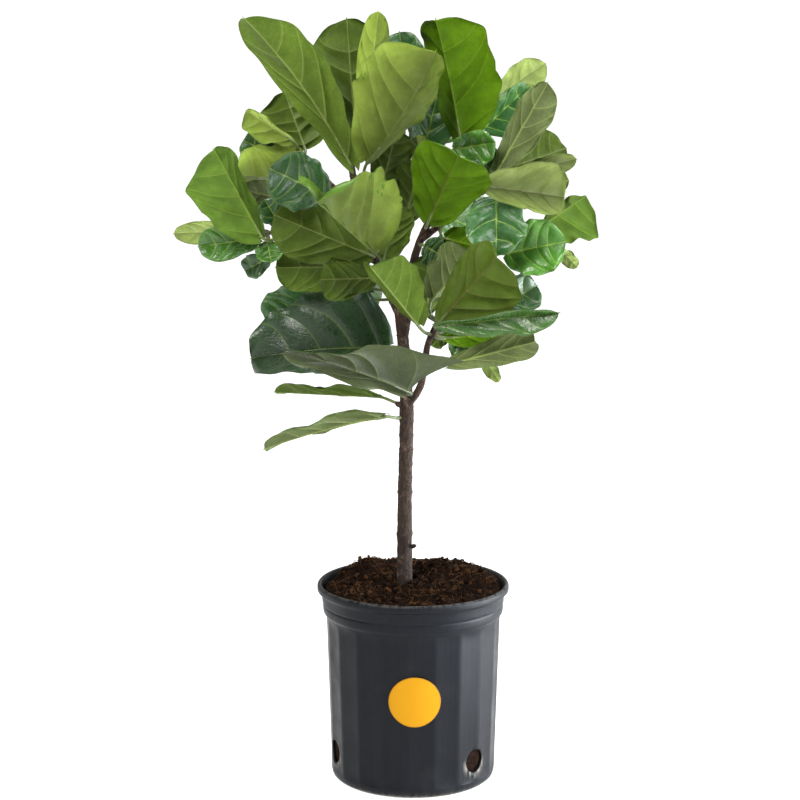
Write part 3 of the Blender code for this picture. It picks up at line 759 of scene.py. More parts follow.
@dataclass
class NurseryPot:
    """The pot: a rolled lip, two bands, a tapered wall of shallow panels and three drain holes."""

    rim_radius: float = 0.127
    height: float = 0.265
    wall_top_radius: float = 0.1155
    wall_foot_radius: float = 0.1092
    wall_top: float = 0.221
    wall_foot: float = 0.013
    wall: float = 0.0028
    floor: float = 0.0045
    panels: int = 20
    panel_steps: int = 12
    panel_depth: float = 0.0019
    panel_turn: float = math.radians(-3.6)
    seam_bearing: float = -24.5
    seam_width: float = 0.5
    seam_height: float = 0.0005
    bevel: float = 0.0022
    section_step: float = 0.006
    lip_wear: float = 0.18
    foot_wear: float = 0.5
    hole_wear: float = 0.9
    hole_radius: float = 0.0155
    hole_height: float = 0.0415
    hole_bearings: tuple[float, ...] = (48.0, 168.0, 288.0)
    finish: PotFinish = PotFinish()

    def wall_radius(self, z: float | Array) -> float | Array:
        """Outer radius of the tapered wall at a height."""
        share = (z - self.wall_foot) / (self.wall_top - self.wall_foot)
        return self.wall_foot_radius + (self.wall_top_radius - self.wall_foot_radius) * share

    def profile(self) -> Array:
        """The pot's section, from the middle of its inner floor over the lip to the middle of its base.

        Returns:
            Points of (radius, height).
        """
        band = self.wall_top_radius
        inside = band - self.wall
        inner = [
            (0.0005, self.floor),
            (self.wall_foot_radius - 0.011, self.floor),
            (self.wall_foot_radius - self.wall - 0.0015, self.wall_foot),
            (inside, self.wall_top),
            (inside + 0.0035, self.wall_top + 0.005),
            (inside + 0.0042, self.height - 0.013),
            (self.rim_radius - 0.0050, self.height - 0.0008),
            (self.rim_radius - 0.0025, self.height),
        ]
        outer = [
            (self.rim_radius, self.height - 0.0028),
            (self.rim_radius, self.height - 0.0100),
            (self.rim_radius - 0.0055, self.height - 0.0125),
            (band + 0.0048, self.height - 0.0255),
            (band + 0.0033, self.height - 0.0275),
            (band + 0.0042, self.height - 0.0295),
            (band + 0.0036, self.height - 0.0385),
            (band, self.wall_top + 0.0010),
            (band, self.wall_top - 0.0020),
            (self.wall_foot_radius, self.wall_foot),
            (self.wall_foot_radius - 0.0018, 0.0045),
            (self.wall_foot_radius - 0.0075, 0.0),
            (0.0005, 0.0),
        ]
        return denser(rounded(inner + outer, self.bevel), self.section_step)

    def build(self) -> bpy.types.Object:
        """Builds and dresses the pot.

        Returns:
            The pot.
        """
        grid = turned(self.profile(), self.panels * self.panel_steps)
        x, y, z = grid[..., 0], grid[..., 1], grid[..., 2]
        radius = np.hypot(x, y)
        turn = (np.arctan2(x, -y) - self.panel_turn) * self.panels / (2 * np.pi)
        middle = 1 - np.abs(2 * (turn - np.floor(turn)) - 1)
        on_wall = radius > self.wall_radius(z) - 0.0005
        fade = np.clip((z - self.wall_foot + 0.002) / 0.006, 0, 1)
        fade = fade * np.clip((self.wall_top - z) / 0.006, 0, 1)
        dent = self.panel_depth * np.sin(np.pi / 2 * middle) ** 0.8 * fade * on_wall
        off_seam = (np.degrees(np.arctan2(x, -y)) - self.seam_bearing) / self.seam_width
        seam = self.seam_height * np.exp(-(off_seam**2)) * (z > self.wall_top + 0.004)
        share = (radius - dent + seam * (radius > self.wall_top_radius + 0.003)) / radius
        grid[..., 0] *= share
        grid[..., 1] *= share
        shape = Shape()
        shape.add_grid(grid, closed=True, scuff=self.scuffs(grid))
        pot = shape.make("nursery_pot", [self.finish.material()])
        self.close_middles(pot)
        self.drill(pot)
        seat(pot, "pot_plastic", "pot")
        return pot

    def scuffs(self, grid: Array) -> Array:
        """How scuffed each point is: at the lip, at the foot and under the drain holes.

        Args:
            grid: The points.

        Returns:
            A number from 0 to 1 for each point.
        """
        x, y, z = grid[..., 0], grid[..., 1], grid[..., 2]
        marks = self.lip_wear * np.exp(-(((z - self.height) / 0.0022) ** 2))
        marks = marks + self.foot_wear * np.exp(-((z / 0.004) ** 2))
        for bearing in self.hole_bearings:
            turn = math.radians(bearing)
            out = (math.sin(turn) * self.wall_foot_radius, -math.cos(turn) * self.wall_foot_radius)
            away = np.sqrt((x - out[0]) ** 2 + (y - out[1]) ** 2 + (z - self.hole_height) ** 2)
            lower = np.clip((self.hole_height + 0.004 - z) / 0.01, 0, 1)
            marks = marks + self.hole_wear * lower * np.exp(-(((away - self.hole_radius) / 0.0045) ** 2))
        return np.clip(marks, 0, 1)

    def close_middles(self, pot: bpy.types.Object) -> None:
        """Closes the two small openings on the axis.

        Args:
            pot: The piece that has them.
        """
        shape = bmesh.new()
        shape.from_mesh(pot.data)
        bmesh.ops.holes_fill(shape, edges=[e for e in shape.edges if e.is_boundary])
        bmesh.ops.recalc_face_normals(shape, faces=shape.faces)
        shape.to_mesh(pot.data)
        shape.free()

    def drill(self, pot: bpy.types.Object) -> None:
        """Cuts the drain holes, each with a slightly torn outline.

        Args:
            pot: The pot.
        """
        for number, bearing in enumerate(self.hole_bearings):
            turn = math.radians(bearing)
            out = Vector((math.sin(turn), -math.cos(turn), 0.0))
            cutter = Shape()
            heading = np.array(out)
            line = np.array([heading * (self.wall_foot_radius + off) for off in (-0.015, 0.015)])
            line[:, 2] = self.hole_height
            angle = np.linspace(0, 2 * np.pi, 48, endpoint=False)
            torn = self.hole_radius * (1 + 0.018 * np.sin(3 * angle + number) + 0.012 * np.sin(7 * angle))
            cutter.add_tube(line, np.vstack([torn, torn]), 48, scuff=0.0)
            bit = cutter.make(f"drill_{number}", [])
            hole = pot.modifiers.new(bit.name, "BOOLEAN")
            hole.operation, hole.solver, hole.object = "DIFFERENCE", "EXACT", bit
            apply_modifiers(pot)
            bpy.data.objects.remove(bit, do_unlink=True)


def apply_modifiers(piece: bpy.types.Object) -> None:
    """Swaps the piece's mesh for its evaluated one and drops the modifiers.

    Args:
        piece: The piece.
    """
    bpy.context.view_layer.update()
    graph = bpy.context.evaluated_depsgraph_get()
    mesh = bpy.data.meshes.new_from_object(piece.evaluated_get(graph))
    mesh.name = piece.name
    piece.modifiers.clear()
    piece.data = mesh


@dataclass
class PottingSoil:
    """The soil: a mounded, crumbly surface in the pot, with chips of bark and loose fibres on it."""

    pot: NurseryPot
    gap: float = 0.0006
    level: float = 0.257
    rings: int = 46
    steps: int = 150
    crumb: float = 0.0050
    side_step: float = 0.01
    chips: int = 420
    chip_size: Pair = (0.0018, 0.0064)
    chip_shades: tuple[float, ...] = (0.05, 0.2, 0.45, 0.6, 0.72)
    fibres: int = 900
    fibre_length: Pair = (0.005, 0.022)
    fibre_radius: Pair = (0.00018, 0.00048)
    fibre_arch: float = 0.0022
    fibre_shades: tuple[float, ...] = (0.3, 0.55, 0.68, 0.8, 0.95)
    trunk_clearance: float = 0.015
    trunk_foot: Pair = (-0.011, 0.0)
    mounds: tuple[tuple[float, float, float, float], ...] = (
        (0.0, 0.0, 0.008, 0.080),
        (-0.058, 0.066, 0.019, 0.030),
        (-0.018, 0.088, 0.010, 0.026),
        (0.036, 0.070, 0.018, 0.032),
        (0.080, 0.060, 0.010, 0.026),
        (0.096, 0.026, 0.010, 0.018),
        (-0.085, -0.040, 0.006, 0.030),
        (0.055, -0.060, 0.006, 0.034),
    )
    finish: SoilFinish = SoilFinish()

    @property
    def edge(self) -> float:
        """Radius of the surface, just inside the pot's wall."""
        return self.pot.wall_top_radius - self.pot.wall + 0.0035 - self.gap

    def height(self, x: float, y: float) -> float:
        """Height of the surface at a place, with its crumbs.

        Args:
            x: Place to the right.
            y: Place to the back.

        Returns:
            The height.
        """
        height = self.level
        for across, back, rise, spread in self.mounds:
            height += rise * math.exp(-((math.hypot(x - across, y - back) / spread) ** 2))
        lump = noise.fractal(Vector((x, y, 0.0)) * 62.0, 0.8, 2.1, 5)
        fine = noise.turbulence(Vector((x, y, 0.3)) * 240.0, 3, False)
        inner = min(1.0, (self.edge - math.hypot(x, y)) / 0.008 + 0.15)
        return height + (self.crumb * lump + 0.0016 * (fine - 0.4)) * inner

    def build(self) -> list[bpy.types.Object]:
        """Builds and dresses the body of soil, its chips and its fibres.

        Returns:
            The three pieces.
        """
        finish = self.finish.material()
        body = self.body().make("potting_mix", [finish])
        seat(body, "soil", "soil")
        chips = self.bark_chips().make("bark_chips", [finish])
        fibres = self.loose_fibres().make("coir_fibres", [finish])
        for piece in (chips, fibres):
            seat(piece, "soil")
        return [body, chips, fibres]

    def body(self) -> Shape:
        """The surface and the sides down to the pot's floor.

        Returns:
            The shape.
        """
        radii = self.edge * np.linspace(0.004, 1.0, self.rings) ** 0.9
        side = [
            (self.edge, self.pot.height - 0.015),
            (self.edge - 0.0008, self.pot.wall_top + 0.0055),
            (self.pot.wall_top_radius - self.pot.wall - self.gap - 0.0002, self.pot.wall_top - 0.0010),
            (self.pot.wall_foot_radius - self.pot.wall - 0.0015 - self.gap, self.pot.wall_foot + 0.0005),
            (self.pot.wall_foot_radius - 0.0120, self.pot.floor + self.gap),
            (0.0005, self.pot.floor + self.gap),
        ]
        surface = np.column_stack([radii, np.full(self.rings, self.level)])
        profile = np.vstack([surface, denser(np.array(side), self.side_step)])
        grid = turned(profile, self.steps)
        for i in range(self.rings):
            for j in range(self.steps):
                grid[i, j, 2] = self.height(grid[i, j, 0], grid[i, j, 1])
        shape = Shape()
        shape.add_grid(grid[::-1], closed=True, shade=0.5)
        return shape

    def spot(self, random: np.random.Generator) -> Array:
        """A place on the surface, clear of the trunk.

        Args:
            random: Where it is drawn from.

        Returns:
            The point.
        """
        while True:
            radius, turn = self.edge * math.sqrt(random.uniform(0, 0.93)), random.uniform(0, 2 * math.pi)
            x, y = radius * math.sin(turn), -radius * math.cos(turn)
            if math.hypot(x - self.trunk_foot[0], y - self.trunk_foot[1]) > self.trunk_clearance:
                return np.array((x, y, self.height(x, y)))

    def bark_chips(self) -> Shape:
        """Small angular chips, half sunk in the surface.

        Returns:
            Their shape.
        """
        random = np.random.default_rng(5)
        shape = Shape()
        for _ in range(self.chips):
            length = random.uniform(*self.chip_size)
            size = length * np.array((1.0, random.uniform(0.4, 0.8), random.uniform(0.2, 0.4)))
            turn = np.linalg.qr(random.normal(size=(3, 3)) * (1, 1, 0.4))[0]
            corners = np.array([(i, j, k) for i in (-1, 1) for j in (-1, 1) for k in (-1, 1)], float)
            corners *= size * random.uniform(0.65, 1.0, (8, 3))
            corners = corners @ turn.T + self.spot(random) + (0, 0, size[2] * 0.3)
            faces = [(0, 1, 3, 2), (4, 6, 7, 5), (0, 4, 5, 1), (2, 3, 7, 6), (0, 2, 6, 4), (1, 5, 7, 3)]
            shape.add(corners, np.array(faces), shade=random.choice(self.chip_shades))
        return shape

    def loose_fibres(self) -> Shape:
        """Thin bent fibres that lie on the surface.

        Returns:
            Their shape.
        """
        random = np.random.default_rng(8)
        shape = Shape()
        for _ in range(self.fibres):
            start = self.spot(random)
            turn = random.uniform(0, 2 * math.pi)
            length = random.uniform(*self.fibre_length)
            bend = random.uniform(-1.6, 1.6)
            line = []
            place = start
            for step in range(7):
                radius = math.hypot(place[0], place[1])
                if radius > self.edge - 0.0015:
                    place = place * ((self.edge - 0.0015) / radius)
                ground = self.height(place[0], place[1])
                arch = self.fibre_arch * math.sin(math.pi * step / 6) * random.uniform(0.3, 1.2)
                line.append((place[0], place[1], ground + 0.0003 + arch))
                turn += bend / 6
                place = place + np.array((math.cos(turn), math.sin(turn), 0.0)) * length / 6
            radii = np.array((0.4, 0.8, 1.0, 1.0, 0.9, 0.7, 0.3)) * random.uniform(*self.fibre_radius)
            shape.add_tube(np.array(line), radii, 4, shade=random.choice(self.fibre_shades))
        return shape


@dataclass
class RoundSticker:
    """The plain round sticker, bent round the pot's wall."""

    pot: NurseryPot
    radius: float = 0.0338
    centre: Pair = (0.0015, 0.1336)
    thickness: float = 0.0004
    gap: float = 0.0008
    rings: int = 12
    steps: int = 96
    finish: StickerFinish = StickerFinish()

    def build(self) -> bpy.types.Object:
        """Builds and dresses the sticker.

        Returns:
            The sticker.
        """
        reach = np.concatenate([np.linspace(0.01, 0.96, self.rings), (0.985, 1.0, 1.0, 0.98, 0.6, 0.01)])
        rise = np.concatenate([np.full(self.rings, 1.0), (0.96, 0.7, 0.25, 0.0, 0.0, 0.0)])
        angle = np.linspace(0, 2 * np.pi, self.steps, endpoint=False)
        x = self.centre[0] + self.radius * reach[:, None] * np.cos(angle)
        z = self.centre[1] + self.radius * reach[:, None] * np.sin(angle)
        out = self.pot.wall_radius(z) + self.gap + self.thickness * rise[:, None]
        grid = np.stack([x, -np.sqrt(out**2 - x**2), z], axis=-1)
        rim = np.clip((reach - 0.955) / 0.03, 0, 1)
        shape = Shape()
        shape.add_grid(grid[:, ::-1], closed=True, rim=rim[:, None])
        sticker = shape.make("round_sticker", [self.finish.material()])
        self.pot.close_middles(sticker)
        seat(sticker, "label_yellow", "label")
        return sticker


@dataclass(frozen=True)
class Branch:
    """A woody branch through its points, with its radius at each end."""

    points: tuple[Point, ...]
    foot_radius: float
    tip_radius: float


@dataclass(frozen=True)
class Twig:
    """A green twig that carries on from the end of a branch."""

    branch: str
    points: tuple[Point, ...]
    foot_radius: float
    tip_radius: float


@dataclass(frozen=True)
class Leaf:
    """One leaf. Pairs hold the blade's own left and right half.

    face turns the blade about its midrib: 0 shows the upper side, 180 the underside. fold lifts each half
    along the midrib and cup curls it further, in degrees. arch, hook and sway bend the midrib; wave is the
    height of the margin's waves; skew and flare move width to one half and to the base; widest is where the
    blade is widest, below 0 for a blade that narrows from its base, and waist how deep its fiddle shape
    narrows; ear is how far the base lobes reach back, and climb how far down its branch it hangs, as a
    share of its distance from the branch.
    """

    name: str
    branch: str
    base: Point
    tip: Point
    width: float
    face: float = 180.0
    fold: Pair = (18.0, 18.0)
    cup: Pair = (14.0, 14.0)
    arch: float = 0.0
    hook: float = 0.0
    sway: float = 0.0
    wave: float = 0.004
    skew: float = 0.0
    flare: Pair = (0.0, 0.0)
    widest: float = 0.62
    waist: float = 0.15
    ear: Pair = (0.06, 0.06)
    climb: float = 0.25
    tone: Tone = Tone.OLIVE


@dataclass(frozen=True)
class Look:
    """How one leaf differs from its tone.

    light is its brightness, partly its own tone and partly painted light and shade, set leaf by leaf; rust
    how brown its veins are, freckle how speckled it is, tip_painted_light and half_painted_light how much
    painted light makes it lighter towards its tip and its right half, bowl how much painted shade makes it
    darker at its midrib than at its margins, point how far its tip curls and quilt how strongly it bulges
    between its veins.
    """

    light: float = 1.0
    rust: float = 0.0
    freckle: float = 0.0
    tip_painted_light: float = 0.0
    half_painted_light: float = 0.0
    bowl: float = 0.25
    point: float = 0.003
    quilt: float = 1.0


BRANCHES: dict[str, Branch] = {
    "trunk": Branch((
        (-0.011, 0.235, 0.0), (-0.011, 0.377, 0.0), (-0.009, 0.458, 0.0),
        (-0.009, 0.511, 0.0), (-0.013, 0.584, 0.0), (-0.019, 0.633, 0.0)
    ), 0.0125, 0.0065),
    "left": Branch((
        (-0.019, 0.625, 0.0), (-0.037, 0.665, 0.005), (-0.055, 0.715, 0.01),
        (-0.070, 0.770, 0.01), (-0.080, 0.820, 0.01), (-0.077, 0.865, 0.01)
    ), 0.0060, 0.0038),
    "right": Branch((
        (-0.013, 0.590, 0.0), (-0.005, 0.640, 0.02), (0.002, 0.698, 0.03),
        (0.020, 0.745, 0.03), (0.042, 0.800, 0.025), (0.060, 0.850, 0.02),
        (0.072, 0.882, 0.035)
    ), 0.0060, 0.0034),
    "outer": Branch(((0.010, 0.720, 0.03), (0.050, 0.752, 0.02), (0.088, 0.785, 0.0)), 0.0045, 0.0034),
    "low": Branch((
        (-0.009, 0.500, 0.0), (0.010, 0.530, -0.015), (0.019, 0.583, -0.02),
        (0.034, 0.617, -0.02)
    ), 0.0050, 0.0035),
    "side": Branch((
        (0.000, 0.690, 0.03), (0.055, 0.712, 0.04), (0.110, 0.722, 0.045),
        (0.160, 0.738, 0.04)
    ), 0.0044, 0.0032),
    "far_left": Branch((
        (-0.045, 0.690, 0.01), (-0.095, 0.715, 0.02), (-0.140, 0.724, 0.015),
        (-0.176, 0.730, 0.01)
    ), 0.0045, 0.0032),
    "upper_left": Branch((
        (-0.066, 0.755, 0.01), (-0.100, 0.785, 0.035), (-0.125, 0.810, 0.05)
    ), 0.0042, 0.0034),
    "back": Branch((
        (-0.013, 0.580, 0.0), (-0.020, 0.640, 0.06), (-0.030, 0.720, 0.10),
        (-0.025, 0.790, 0.115)
    ), 0.0055, 0.0040),
}

TWIGS: dict[str, Twig] = {
    "spray_outer": Twig("outer", ((0.104, 0.800, -0.005), (0.114, 0.812, -0.005)), 0.0030, 0.0026),
    "spray_far_left": Twig("far_left", ((-0.186, 0.729, 0.008), (-0.192, 0.727, 0.006)), 0.0030, 0.0026),
    "spray_upper_left": Twig("upper_left", ((-0.140, 0.826, 0.052), (-0.152, 0.842, 0.05)), 0.0030, 0.0026),
    "spray_back": Twig("back", ((-0.022, 0.830, 0.12), (-0.012, 0.860, 0.12)), 0.0036, 0.0028),
}

LEAVES: list[Leaf] = [
    # left leader
    Leaf("leaf_long_top_left", "left", (-0.081, 0.818, -0.008), (-0.215, 1.002, -0.06), 0.088,
         face=152, fold=(12, 28), cup=(8, 8), arch=0.018, widest=0.65),
    Leaf("leaf_top_centre", "left", (-0.075, 0.860, 0.028), (-0.085, 1.002, 0.07), 0.110,
         face=180, fold=(15, 15), widest=0.62),
    Leaf("leaf_folded_top", "left", (-0.062, 0.865, 0.0), (-0.045, 1.011, 0.0), 0.060,
         face=180, fold=(42, 42), cup=(20, 20), climb=0.1, tone=Tone.BRIGHT),
    Leaf("leaf_bright_bowl", "left", (-0.058, 0.821, -0.04), (0.028, 0.960, -0.09), 0.142,
         face=210, fold=(30, 28), cup=(26, 30), arch=-0.012, skew=0.10, widest=0.65, waist=0.21, climb=0.9,
         tone=Tone.BRIGHT),
    Leaf("leaf_top_right", "right", (0.060, 0.851, -0.01), (0.028, 1.000, -0.04), 0.132,
         face=150, fold=(28, 38), cup=(12, 5), arch=0.004, widest=0.54, waist=0.09, tone=Tone.VIVID),
    Leaf("leaf_pale_upper_right", "right", (0.106, 0.903, 0.088), (0.168, 0.946, 0.11), 0.048,
         face=180, fold=(20, 20), climb=0.0, tone=Tone.PALE),
    Leaf("leaf_glossy_upper_right", "right", (0.090, 0.864, 0.043), (0.147, 0.918, 0.046), 0.082,
         face=35, fold=(30, 30), tone=Tone.DARK),
    Leaf("leaf_small_upper_right", "right", (0.055, 0.838, -0.01), (0.105, 0.846, -0.05), 0.050,
         face=20, climb=1.3, tone=Tone.MID),
    Leaf("leaf_tall_right", "outer", (0.106, 0.805, -0.03), (0.171, 0.921, -0.05), 0.060,
         face=145, fold=(12, 12), widest=0.65, climb=0.1, tone=Tone.GREY),
    Leaf("round_right", "spray_outer", (0.122, 0.812, 0.02), (0.196, 0.838, 0.05), 0.075, face=180),
    Leaf("folded_right", "spray_outer", (0.112, 0.797, -0.01), (0.209, 0.824, -0.025), 0.036,
         face=180, fold=(35, 35), tone=Tone.PALE),
    Leaf("dark_right", "spray_outer", (0.125, 0.795, 0.01), (0.200, 0.796, 0.03), 0.045, face=180),
    Leaf("leaf_pale_shell", "outer", (0.091, 0.789, -0.06), (0.194, 0.775, -0.11), 0.085,
         face=172, fold=(50, 16), cup=(20, 26), skew=0.15, tone=Tone.PALE),
    # upper left
    Leaf("folded_left", "spray_upper_left", (-0.156, 0.848, 0.03), (-0.214, 0.886, 0.02), 0.050,
         face=210, fold=(40, 30), tone=Tone.BRIGHT),
    Leaf("leaf_left_bowl", "upper_left", (-0.128, 0.798, 0.029), (-0.228, 0.803, 0.027), 0.096,
         face=150, fold=(30, 30), cup=(40, 25), widest=0.55, waist=0.01, tone=Tone.BRIGHT),
    Leaf("round_left", "spray_upper_left", (-0.140, 0.840, 0.075), (-0.165, 0.910, 0.11), 0.112, face=180),
    Leaf("dark_left", "spray_upper_left", (-0.172, 0.825, 0.062), (-0.218, 0.848, 0.078), 0.045,
         face=0, tone=Tone.GREY),
    # far left
    Leaf("leaf_far_left", "far_left", (-0.196, 0.724, -0.02), (-0.256, 0.836, -0.06), 0.108,
         face=212, fold=(38, 30), cup=(5, 14), widest=0.57, waist=0.09, tone=Tone.FRESH),
    Leaf("pale_far_left", "spray_far_left", (-0.215, 0.731, 0.03), (-0.307, 0.728, 0.04), 0.033,
         face=180, fold=(20, 20), hook=0.01, tone=Tone.PALE),
    Leaf("glossy_far_left", "spray_far_left", (-0.200, 0.722, 0.012), (-0.278, 0.711, 0.0), 0.050,
         face=0, tone=Tone.MID),
    Leaf("short_far_left", "spray_far_left", (-0.189, 0.717, -0.005), (-0.184, 0.690, -0.02), 0.040,
         face=0, tone=Tone.MID),
    Leaf("low_far_left", "spray_far_left", (-0.186, 0.697, 0.035), (-0.218, 0.680, 0.05), 0.036,
         face=0, climb=0.0, tone=Tone.DARK),
    # middle
    Leaf("leaf_dark_left", "upper_left", (-0.113, 0.778, -0.02), (-0.185, 0.812, -0.055), 0.080,
         face=0, tone=Tone.DARK),
    Leaf("leaf_grey_left", "upper_left", (-0.144, 0.767, 0.018), (-0.222, 0.785, 0.014), 0.042,
         face=180, fold=(25, 25), tone=Tone.GREY),
    Leaf("leaf_bright_middle", "left", (-0.048, 0.700, -0.06), (-0.124, 0.768, -0.19), 0.165,
         face=150, fold=(30, 64), cup=(10, 10), widest=0.47, waist=-0.01, tone=Tone.BRIGHT),
    Leaf("leaf_wide_middle_left", "left", (-0.056, 0.700, -0.021), (-0.178, 0.752, -0.042), 0.092,
         face=180),
    Leaf("leaf_middle_right", "right", (0.019, 0.743, -0.02), (0.057, 0.828, -0.11), 0.108,
         face=180, fold=(15, 15), widest=0.67, tone=Tone.VIVID),
    Leaf("leaf_small_middle", "left", (-0.040, 0.690, 0.03), (-0.020, 0.765, 0.02), 0.060, face=180),
    Leaf("leaf_inner_dark", "back", (-0.030, 0.786, 0.088), (-0.010, 0.828, 0.075), 0.076,
         face=0, tone=Tone.DARK),
    Leaf("leaf_inner_small", "right", (0.015, 0.712, 0.004), (0.036, 0.700, -0.004), 0.046,
         face=0, tone=Tone.DARK),
    Leaf("leaf_inner_right", "outer", (0.092, 0.795, 0.04), (0.110, 0.835, 0.06), 0.066,
         face=0, tone=Tone.DARK),
    # right side
    Leaf("leaf_glossy_hanging", "outer", (0.107, 0.772, -0.022), (0.107, 0.699, -0.050), 0.088,
         face=0, widest=0.38, climb=0.6, tone=Tone.DARK),
    Leaf("leaf_round_right", "side", (0.120, 0.702, 0.0), (0.197, 0.718, -0.03), 0.080,
         face=0, widest=0.5, tone=Tone.MID),
    Leaf("leaf_far_right", "side", (0.164, 0.737, 0.014), (0.222, 0.777, 0.034), 0.094,
         face=150, fold=(28, 42), skew=-0.1, tone=Tone.FRESH),
    Leaf("leaf_curled_right", "side", (0.188, 0.708, 0.03), (0.212, 0.684, 0.03), 0.024,
         face=180, fold=(30, 30), tone=Tone.PALE),
    Leaf("leaf_yellow_inner", "outer", (0.040, 0.722, 0.0), (0.090, 0.708, -0.015), 0.060,
         face=180, climb=0.0, tone=Tone.VIVID),
    Leaf("leaf_grey_right", "low", (0.025, 0.643, -0.026), (0.080, 0.699, -0.034), 0.070,
         face=205, fold=(35, 28), skew=0.15, climb=0.1, tone=Tone.GREY),
    Leaf("leaf_brown_veined", "low", (0.033, 0.612, -0.045), (0.107, 0.698, -0.105), 0.108,
         face=165, fold=(20, 25), skew=-0.15, widest=0.68),
    Leaf("leaf_glossy_low_right", "low", (0.100, 0.626, 0.0), (0.160, 0.660, 0.03), 0.060,
         face=0, tone=Tone.DARK),
    Leaf("leaf_flat_right", "low", (0.034, 0.608, -0.06), (0.189, 0.625, -0.115), 0.046,
         face=30, fold=(38, 30), tone=Tone.MID),
    Leaf("leaf_vivid_low_right", "low", (0.045, 0.592, -0.012), (0.150, 0.600, -0.005), 0.044,
         face=180, tone=Tone.VIVID),
    Leaf("leaf_hooked_right", "low", (0.046, 0.557, -0.012), (0.172, 0.590, -0.08), 0.042,
         face=180, hook=0.03, tone=Tone.GREY),
    # lower left
    Leaf("leaf_great_lower", "trunk", (-0.006, 0.520, -0.05), (-0.166, 0.574, -0.19), 0.074,
         face=140, fold=(12, 14), cup=(8, 10), skew=-0.1, widest=-0.1, waist=0.0, flare=(0.75, -0.6),
         ear=(0.21, 0.04), sway=-0.005, tone=Tone.GREY),
    Leaf("leaf_great_dark", "trunk", (-0.036, 0.578, 0.042), (-0.211, 0.564, 0.055), 0.160,
         face=25, fold=(38, 25), cup=(15, 10), arch=0.012, widest=0.44, waist=0.05, flare=(0.0, 0.25),
         tone=Tone.DARK),
    Leaf("leaf_glossy_low_left", "back", (-0.120, 0.645, 0.095), (-0.190, 0.612, 0.11), 0.078,
         face=0, tone=Tone.DARK),
    Leaf("leaf_edge_on_upper", "trunk", (-0.048, 0.514, 0.03), (-0.181, 0.520, 0.04), 0.060,
         face=100, fold=(12, 12)),
    Leaf("leaf_edge_on_lower", "trunk", (-0.038, 0.487, -0.02), (-0.195, 0.444, -0.05), 0.060,
         face=108, fold=(12, 12), arch=0.004, tone=Tone.GREY),
    Leaf("leaf_olive_left", "left", (-0.074, 0.685, 0.015), (-0.178, 0.684, 0.005), 0.072,
         face=180, climb=0.9),
    Leaf("leaf_olive_small", "left", (-0.049, 0.670, -0.026), (-0.120, 0.668, -0.058), 0.060, face=180),
    Leaf("leaf_dark_small", "back", (-0.052, 0.656, 0.075), (-0.114, 0.667, 0.09), 0.030,
         face=0, tone=Tone.DARK),
    Leaf("leaf_hanging_middle", "low", (0.006, 0.608, -0.045), (-0.056, 0.685, -0.095), 0.088,
         face=150, fold=(30, 46)),
    # inner and rear
    Leaf("dark_crown", "spray_back", (-0.005, 0.895, 0.10), (-0.018, 0.985, 0.12), 0.062,
         face=0, tone=Tone.DARK),
    Leaf("dark_between", "spray_back", (0.012, 0.832, 0.10), (0.036, 0.930, 0.08), 0.080,
         face=10, tone=Tone.DARK),
    Leaf("rear_crown_left", "spray_back", (-0.040, 0.835, 0.15), (-0.080, 0.900, 0.24), 0.092,
         face=0, tone=Tone.MID),
    Leaf("rear_crown_right", "spray_back", (0.030, 0.850, 0.16), (0.075, 0.915, 0.25), 0.092,
         face=0, tone=Tone.MID),
    Leaf("leaf_rear_top_left", "left", (-0.088, 0.855, 0.10), (-0.112, 0.925, 0.19), 0.080,
         face=0, tone=Tone.MID),
    Leaf("leaf_inner_olive", "back", (-0.012, 0.745, 0.06), (0.008, 0.815, 0.035), 0.070, face=180),
    Leaf("leaf_rear_right", "back", (0.030, 0.755, 0.15), (0.080, 0.735, 0.25), 0.095, face=0, tone=Tone.MID),
    Leaf("leaf_rear_left", "back", (-0.070, 0.745, 0.14), (-0.130, 0.750, 0.22), 0.105,
         face=0, tone=Tone.MID),
    Leaf("leaf_rear_low_left", "back", (-0.045, 0.680, 0.13), (-0.080, 0.650, 0.23), 0.092,
         face=0, tone=Tone.MID),
    Leaf("leaf_rear_low_right", "back", (0.030, 0.660, 0.11), (0.085, 0.640, 0.20), 0.090,
         face=0, tone=Tone.MID),
]

YOUNG_LEAVES: list[Leaf] = [
    Leaf("curled_inner", "right", (0.014, 0.812, 0.015), (0.004, 0.853, -0.005), 0.032,
         face=180, fold=(30, 40), tone=Tone.BRIGHT),
    Leaf("dark_inner", "left", (-0.040, 0.790, 0.05), (-0.022, 0.862, 0.045), 0.062, face=180),
    Leaf("glossy_low", "low", (0.052, 0.597, 0.012), (0.064, 0.566, 0.005), 0.028, face=0, tone=Tone.MID),
    Leaf("olive_low", "low", (0.043, 0.603, 0.014), (0.024, 0.581, 0.012), 0.028, face=180),
    Leaf("olive_centre", "low", (0.018, 0.625, 0.0), (0.018, 0.700, 0.015), 0.050, face=180),
    Leaf("pale_beneath", "low", (0.084, 0.574, 0.015), (0.112, 0.534, 0.0), 0.020,
         face=180, climb=0.0, tone=Tone.PALE),
    Leaf("dark_beside", "far_left", (-0.170, 0.736, -0.005), (-0.192, 0.772, -0.012), 0.036,
         face=0, tone=Tone.DARK),
]
